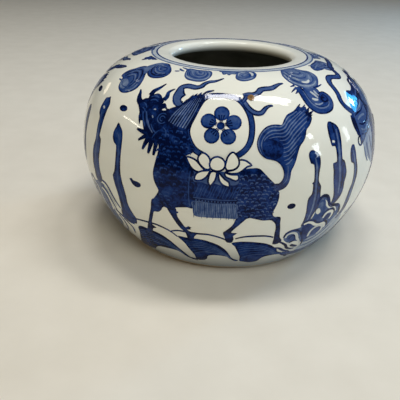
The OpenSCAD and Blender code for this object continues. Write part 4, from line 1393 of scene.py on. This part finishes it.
# Rocks standing in the sea
rockLook = {"tone": 0.74, "edge": 1.0, "edgeWidth": 0.9}
rocksRight = {
    "shapes": [
        [(26.6, 12.2), (27, 13.4), (28.2, 13.8), (30.4, 12.4), (30.9, 10.8), (30.9, 9), (30.4, 6.5),
         (30.3, 4), (31.4, 2), (31.5, 0), (31.9, -3), (31.6, -6), (30.6, -8), (30, -10.5), (28.8, -12.5),
         (27.2, -12.5), (27.4, -10), (27.4, -7), (27, -3), (27.2, -1.2), (28.2, 0), (28.3, 3),
         (27.9, 3.6), (28.5, 4), (28.6, 6.5), (28.4, 9.4), (27.3, 9.9)],
        [(36, 20.4), (37.2, 21.4), (38.8, 20.8), (40.4, 19.6), (41, 18), (40.9, 15), (40.6, 12),
         (40.6, 9), (41.6, 8.2), (42.4, 6), (42.8, 3.5), (42.2, 1), (42.2, -1.5), (41.6, -4),
         (40.2, -5.5), (38.5, -6.5), (37.5, -6), (37.8, -3), (37.2, 0), (36.6, 3), (36.4, 6), (36.2, 8.4),
         (37.8, 8.6), (38, 11), (37.6, 13.6), (36.2, 13.8), (35.8, 15.5), (35.6, 18)],
        [(46.6, 12.2), (47.6, 12), (48.2, 10), (48.6, 7), (49.4, 4), (49.6, 1), (49, -2), (48.6, -5),
         (48.6, -9), (48, -13), (46, -15), (44.6, -14.5), (46, -11), (46, -6), (46.4, -3), (47.2, -1),
         (47.4, 3), (46.8, 6), (45.6, 6.6), (45, 8.5), (45.4, 11)],
    ],
    "streaksAndHighlights": [
        (0.38, (0.4, 0.7, 0.3), [(29, 11.4), (29.5, 8), (29.4, 3), (29.6, -1), (29.4, -6), (28.9, -10)]),
        (0.9, fine, [(30, 2), (30.4, -2), (30.2, -6)]),
        (0.38, (0.5, 0.9, 0.4), [(39.4, 18.6), (39.4, 13), (39.2, 8), (39.6, 3), (39.8, -2.4)]),
        (0.9, soft, [(38.2, 20), (38.4, 17), (38.4, 14)]),
        (0.9, soft, [(40.8, 7), (41, 3), (40.8, -1)]),
        # painted highlight: a near-white dash on the middle rock's head
        (0.05, 0.7, [(36.6, 15.2), (37.2, 15.1), (37.6, 14.8)]),
        (0.38, (0.4, 0.7, 0.3), [(46.6, 10.4), (47.4, 7), (48.2, 2), (47.8, -3), (47.4, -9)]),
    ],
}
rocksLeft = {
    "shapes": [
        [(-54.6, 22.2), (-53, 22.8), (-52, 23.4), (-51.2, 22.6), (-49.8, 21.2), (-49.6, 19.5),
         (-49.4, 17), (-49.2, 13), (-49.2, 10.2), (-48, 9.4), (-47.8, 6), (-48.2, 2), (-47.8, -1.5),
         (-47, -4), (-47, -4.8), (-49, -6.5), (-52, -6), (-52.4, -3), (-53, 0), (-53, 3), (-52.6, 6),
         (-51.8, 8), (-51.8, 10.5), (-52.2, 13), (-52.6, 15.6), (-54.2, 17), (-54.8, 18.6), (-54.8, 20.6)],
        [(-40.4, 17), (-39, 16.2), (-37.4, 15), (-36.6, 13), (-36.2, 10), (-36, 6), (-35.8, 2),
         (-35.2, -1), (-34.6, -3), (-34, -6), (-34, -9), (-33.4, -11.5), (-32.6, -13.5), (-32, -15.2),
         (-33, -18), (-35.5, -18.4), (-38.6, -18.6), (-40, -18), (-39.6, -15), (-38.4, -12.5), (-38, -9),
         (-38.2, -6), (-39, -3), (-39.6, -0.2), (-38.8, 1.2), (-38.4, 4), (-38.4, 7), (-38.8, 10),
         (-40, 10.6), (-41.2, 12), (-41.4, 14), (-40.8, 15.6)],
    ],
    "streaksAndHighlights": [
        (0.5, (0.4, 0.8, 0.3), [(-52.6, 17.4), (-51.2, 14), (-50.6, 8), (-50.6, 2), (-50, -3)]),
        (0.9, soft, [(-50.6, 20.6), (-50.4, 17), (-50.2, 12)]),
        # painted highlight: a near-white dash on the tall rock's head
        (0.12, 0.7, [(-53.2, 19.4), (-52.4, 19.4), (-51.8, 19)]),
        (0.58, (0.4, 0.6, 0.3), [(-39.2, 13.8), (-37.8, 12), (-37.2, 7), (-37.2, 2), (-36.8, -3),
            (-36, -8), (-36.4, -13)]),
        (0.9, soft, [(-38.6, 0), (-37.8, -4), (-37, -9), (-37.4, -14)]),
    ],
}
farRock = {
    "shapes": [
        [(-67.6, 15.2), (-66, 16.6), (-64.2, 15.6), (-63, 12), (-62.8, 7), (-62, 4), (-62, 0), (-63, -3),
         (-65, -3), (-65.4, 1), (-65.6, 7), (-67.2, 11)],
    ],
    "streaksAndHighlights": [
        (0.5, (0.4, 0.7, 0.3), [(-66, 14), (-64.6, 10), (-64.2, 5), (-63.6, 0)]),
        (0.9, fine, [(-64, 13), (-63.6, 8), (-63, 2)]),
    ],
}
for name, rocks, places, material in (
    ("rocksRight", rocksRight, around["right"], glossyCobalt),
    ("rocksLeft", rocksLeft, around["left"], cobalt),
    ("farRock", farRock, (0,), cobalt),
):
    sheet = newSheet()
    for shape in rocks["shapes"]:
        outlined(sheet, shape, rockLook["tone"], rockLook["edge"], rockLook["edgeWidth"])
    strokes(sheet, rocks["streaksAndHighlights"])
    paintedPiece(name, sheet, places, material)

# Dots and a comma of cobalt in the bare ground
dots = {
    "tone": 0.97, "commaTone": 0.95,
    "spots": [
        ((-41, 21.8), 1.9, 1.05), ((21.4, -3.2), 1.45, 1.0), ((-65.8, 23), 2.2, 1.1),
        ((-14.4, -6.6), 0.35, 0.35),
    ],
    "comma": [
        (-31.6, 1.2), (-30.8, 1.5), (-30, 0.9), (-28.6, 0.9), (-27.2, 0.5), (-27, -0.2), (-27.8, -0.9),
        (-29, -1.1), (-30.2, -0.6), (-31, 0.2),
    ],
}
sheet = newSheet()
for centre, across, up in dots["spots"]:
    wash(sheet, ring(centre, across, up), dots["tone"])
wash(sheet, dots["comma"], dots["commaTone"])
paintedPiece("dots", sheet, around["dots"])

# Iron spot on the ribbon's knot
ironSpot = {
    "tone": 1.0, "level": 9,
    "shape": [
        (7, 31.6), (7.6, 32.5), (8.6, 32.8), (9.6, 32.3), (10, 31.4), (9.5, 30.7), (8.5, 30.5), (7.5, 30.8),
    ],
}
sheet = newSheet()
wash(sheet, ironSpot["shape"], ironSpot["tone"], ironSpot["level"])
paintedPiece("ironSpot", sheet, material=iron)

# Lines round the mouth, with a pale wash between them
mouth = {
    "inner": 47.2, "outer": 45.4, "width": 0.6, "rows": 4, "lift": 0.03,
    "innerTone": 0.7, "outerTone": 0.42, "washTone": 0.15,
}


def mouthRing(name, low, high, tone, lift, nodes):
    angles = [angleAlong(low + (high - low) * i / mouth["rows"]) for i in range(mouth["rows"] + 1)]
    section = [wallPoint(angle, lift) for angle in angles]
    section += [wallPoint(angle, brush["sunk"]) for angle in angles[::-1]]
    piece = turnedPiece(name, section, cobalt, nodes)
    shade = piece.data.attributes.new("tone", "FLOAT", "POINT")
    shade.data.foreach_set("value", [tone] * len(piece.data.vertices))


half = mouth["width"] / 2
for name, rise, tone, node in (
    ("innerMouthLine", mouth["inner"], mouth["innerTone"], "inner_mouth_line"),
    ("outerMouthLine", mouth["outer"], mouth["outerTone"], "outer_mouth_line"),
):
    mouthRing(name, rise - half, rise + half, tone, mouth["lift"], [node])
mouthRing("mouthWash", mouth["outer"], mouth["inner"], mouth["washTone"], mouth["lift"] / 2, [])

# Stage
stage = {
    "size": 3, "pale": (0.75, 0.71, 0.63), "warm": (0.71, 0.67, 0.59), "patches": 60,
    "rough": 0.95, "specular": 0.1, "sky": (0.97, 0.99, 1, 1), "skyStrength": 0.04, "aim": (0, 0, 0.04),
}
bm = bmesh.new()
bmesh.ops.create_grid(bm, x_segments=1, y_segments=1, size=stage["size"])
floorMesh = bpy.data.meshes.new("floor")
bm.to_mesh(floorMesh)
bm.free()
floor = bpy.data.objects.new("floor", floorMesh)
bpy.context.scene.collection.objects.link(floor)
paleFloor, tree, shader = newMaterial("paleFloor")
patch = mottled(tree, stage["patches"], 0, 1)
tree.links.new(blendColours(tree, patch, stage["pale"], stage["warm"]), shader.inputs["Base Color"])
shader.inputs["Roughness"].default_value = stage["rough"]
shader.inputs["Specular IOR Level"].default_value = stage["specular"]
floor.data.materials.append(paleFloor)

world = bpy.data.worlds.new("studio")
world.use_nodes = True
sky = world.node_tree.nodes["Background"]
sky.inputs["Color"].default_value = stage["sky"]
sky.inputs["Strength"].default_value = stage["skyStrength"]
bpy.context.scene.world = world

# Softboxes: place, width and height in metres, power, colour, line of the width
flat = (1, 0, 0)
lamps = {
    "topLeftPanel": ((-0.042, 0.038, 0.79), 0.21, 0.12, 1.45, (1, 0.99, 0.97), flat),
    "topRightPanel": ((0.275, 0.071, 0.778), 0.25, 0.12, 1.7, (1, 0.99, 0.97), flat),
    "ceiling": ((0, 0, 1.25), 1.0, 1.0, 1.8, (1, 0.995, 0.94), flat),
    "frontFill": ((0.12, -0.7, 0.98), 0.6, 0.4, 4.6, (1, 0.97, 0.87), flat),
    "leftFill": ((-1.0, -0.5, 0.3), 0.5, 0.4, 0.7, (1, 0.72, 0.28), (0.5, -1, 0)),
    "rightFill": ((0.95, -0.25, 0.3), 0.5, 0.4, 1.2, (0.5, 0.76, 1), (0.3, 1, 0)),
    "rightBackWindow": ((0.69, 0.543, 0.314), 0.2, 0.16, 1.0, (0.06, 0.42, 1), (0.63, -0.72, 0)),
    "rightBackPane": ((0.68, 0.535, 0.31), 0.07, 0.08, 0.6, (0.45, 0.8, 1), (0.63, -0.72, 0)),
    "rightHighPane": ((0.775, -0.325, 0.46), 0.06, 0.1, 0.22, (0.88, 0.95, 1), (0.34, 0.9, 0.1)),
    "rightLowPane": ((0.86, -0.338, 0.22), 0.07, 0.2, 0.5, (0.8, 0.92, 1), (0.34, 0.9, 0.1)),
    "rightSideWindow": ((0.9, 0.153, 0.195), 0.07, 0.2, 0.22, (0.9, 0.96, 1), (-0.2, 0.9, 0)),
    "leftStrip": ((-0.838, -0.092, 0.41), 0.34, 0.016, 0.35, (1, 0.92, 0.75), (0.039, -0.332, 0.027)),
    "leftBackStrip": ((-0.66, 0.6, 0.26), 0.13, 0.05, 0.05, (1, 0.85, 0.6), (-0.103, -0.094, -0.047)),
}
unseen = ("ceiling", "frontFill", "leftFill", "rightFill")
for name, (place, width, height, power, colour, line) in lamps.items():
    data = bpy.data.lights.new(name, "AREA")
    data.shape = "RECTANGLE"
    data.size, data.size_y = width, height
    data.energy = power
    data.color = colour
    lamp = bpy.data.objects.new(name, data)
    bpy.context.scene.collection.objects.link(lamp)
    away = (Vector(place) - Vector(stage["aim"])).normalized()
    up = away.cross(Vector(line)).normalized()
    across = up.cross(away)
    lamp.matrix_world = Matrix.Translation(place) @ Matrix((across, up, away)).transposed().to_4x4()
    lamp.visible_glossy = name not in unseen
print("stage lit with", len(lamps), "softboxes")
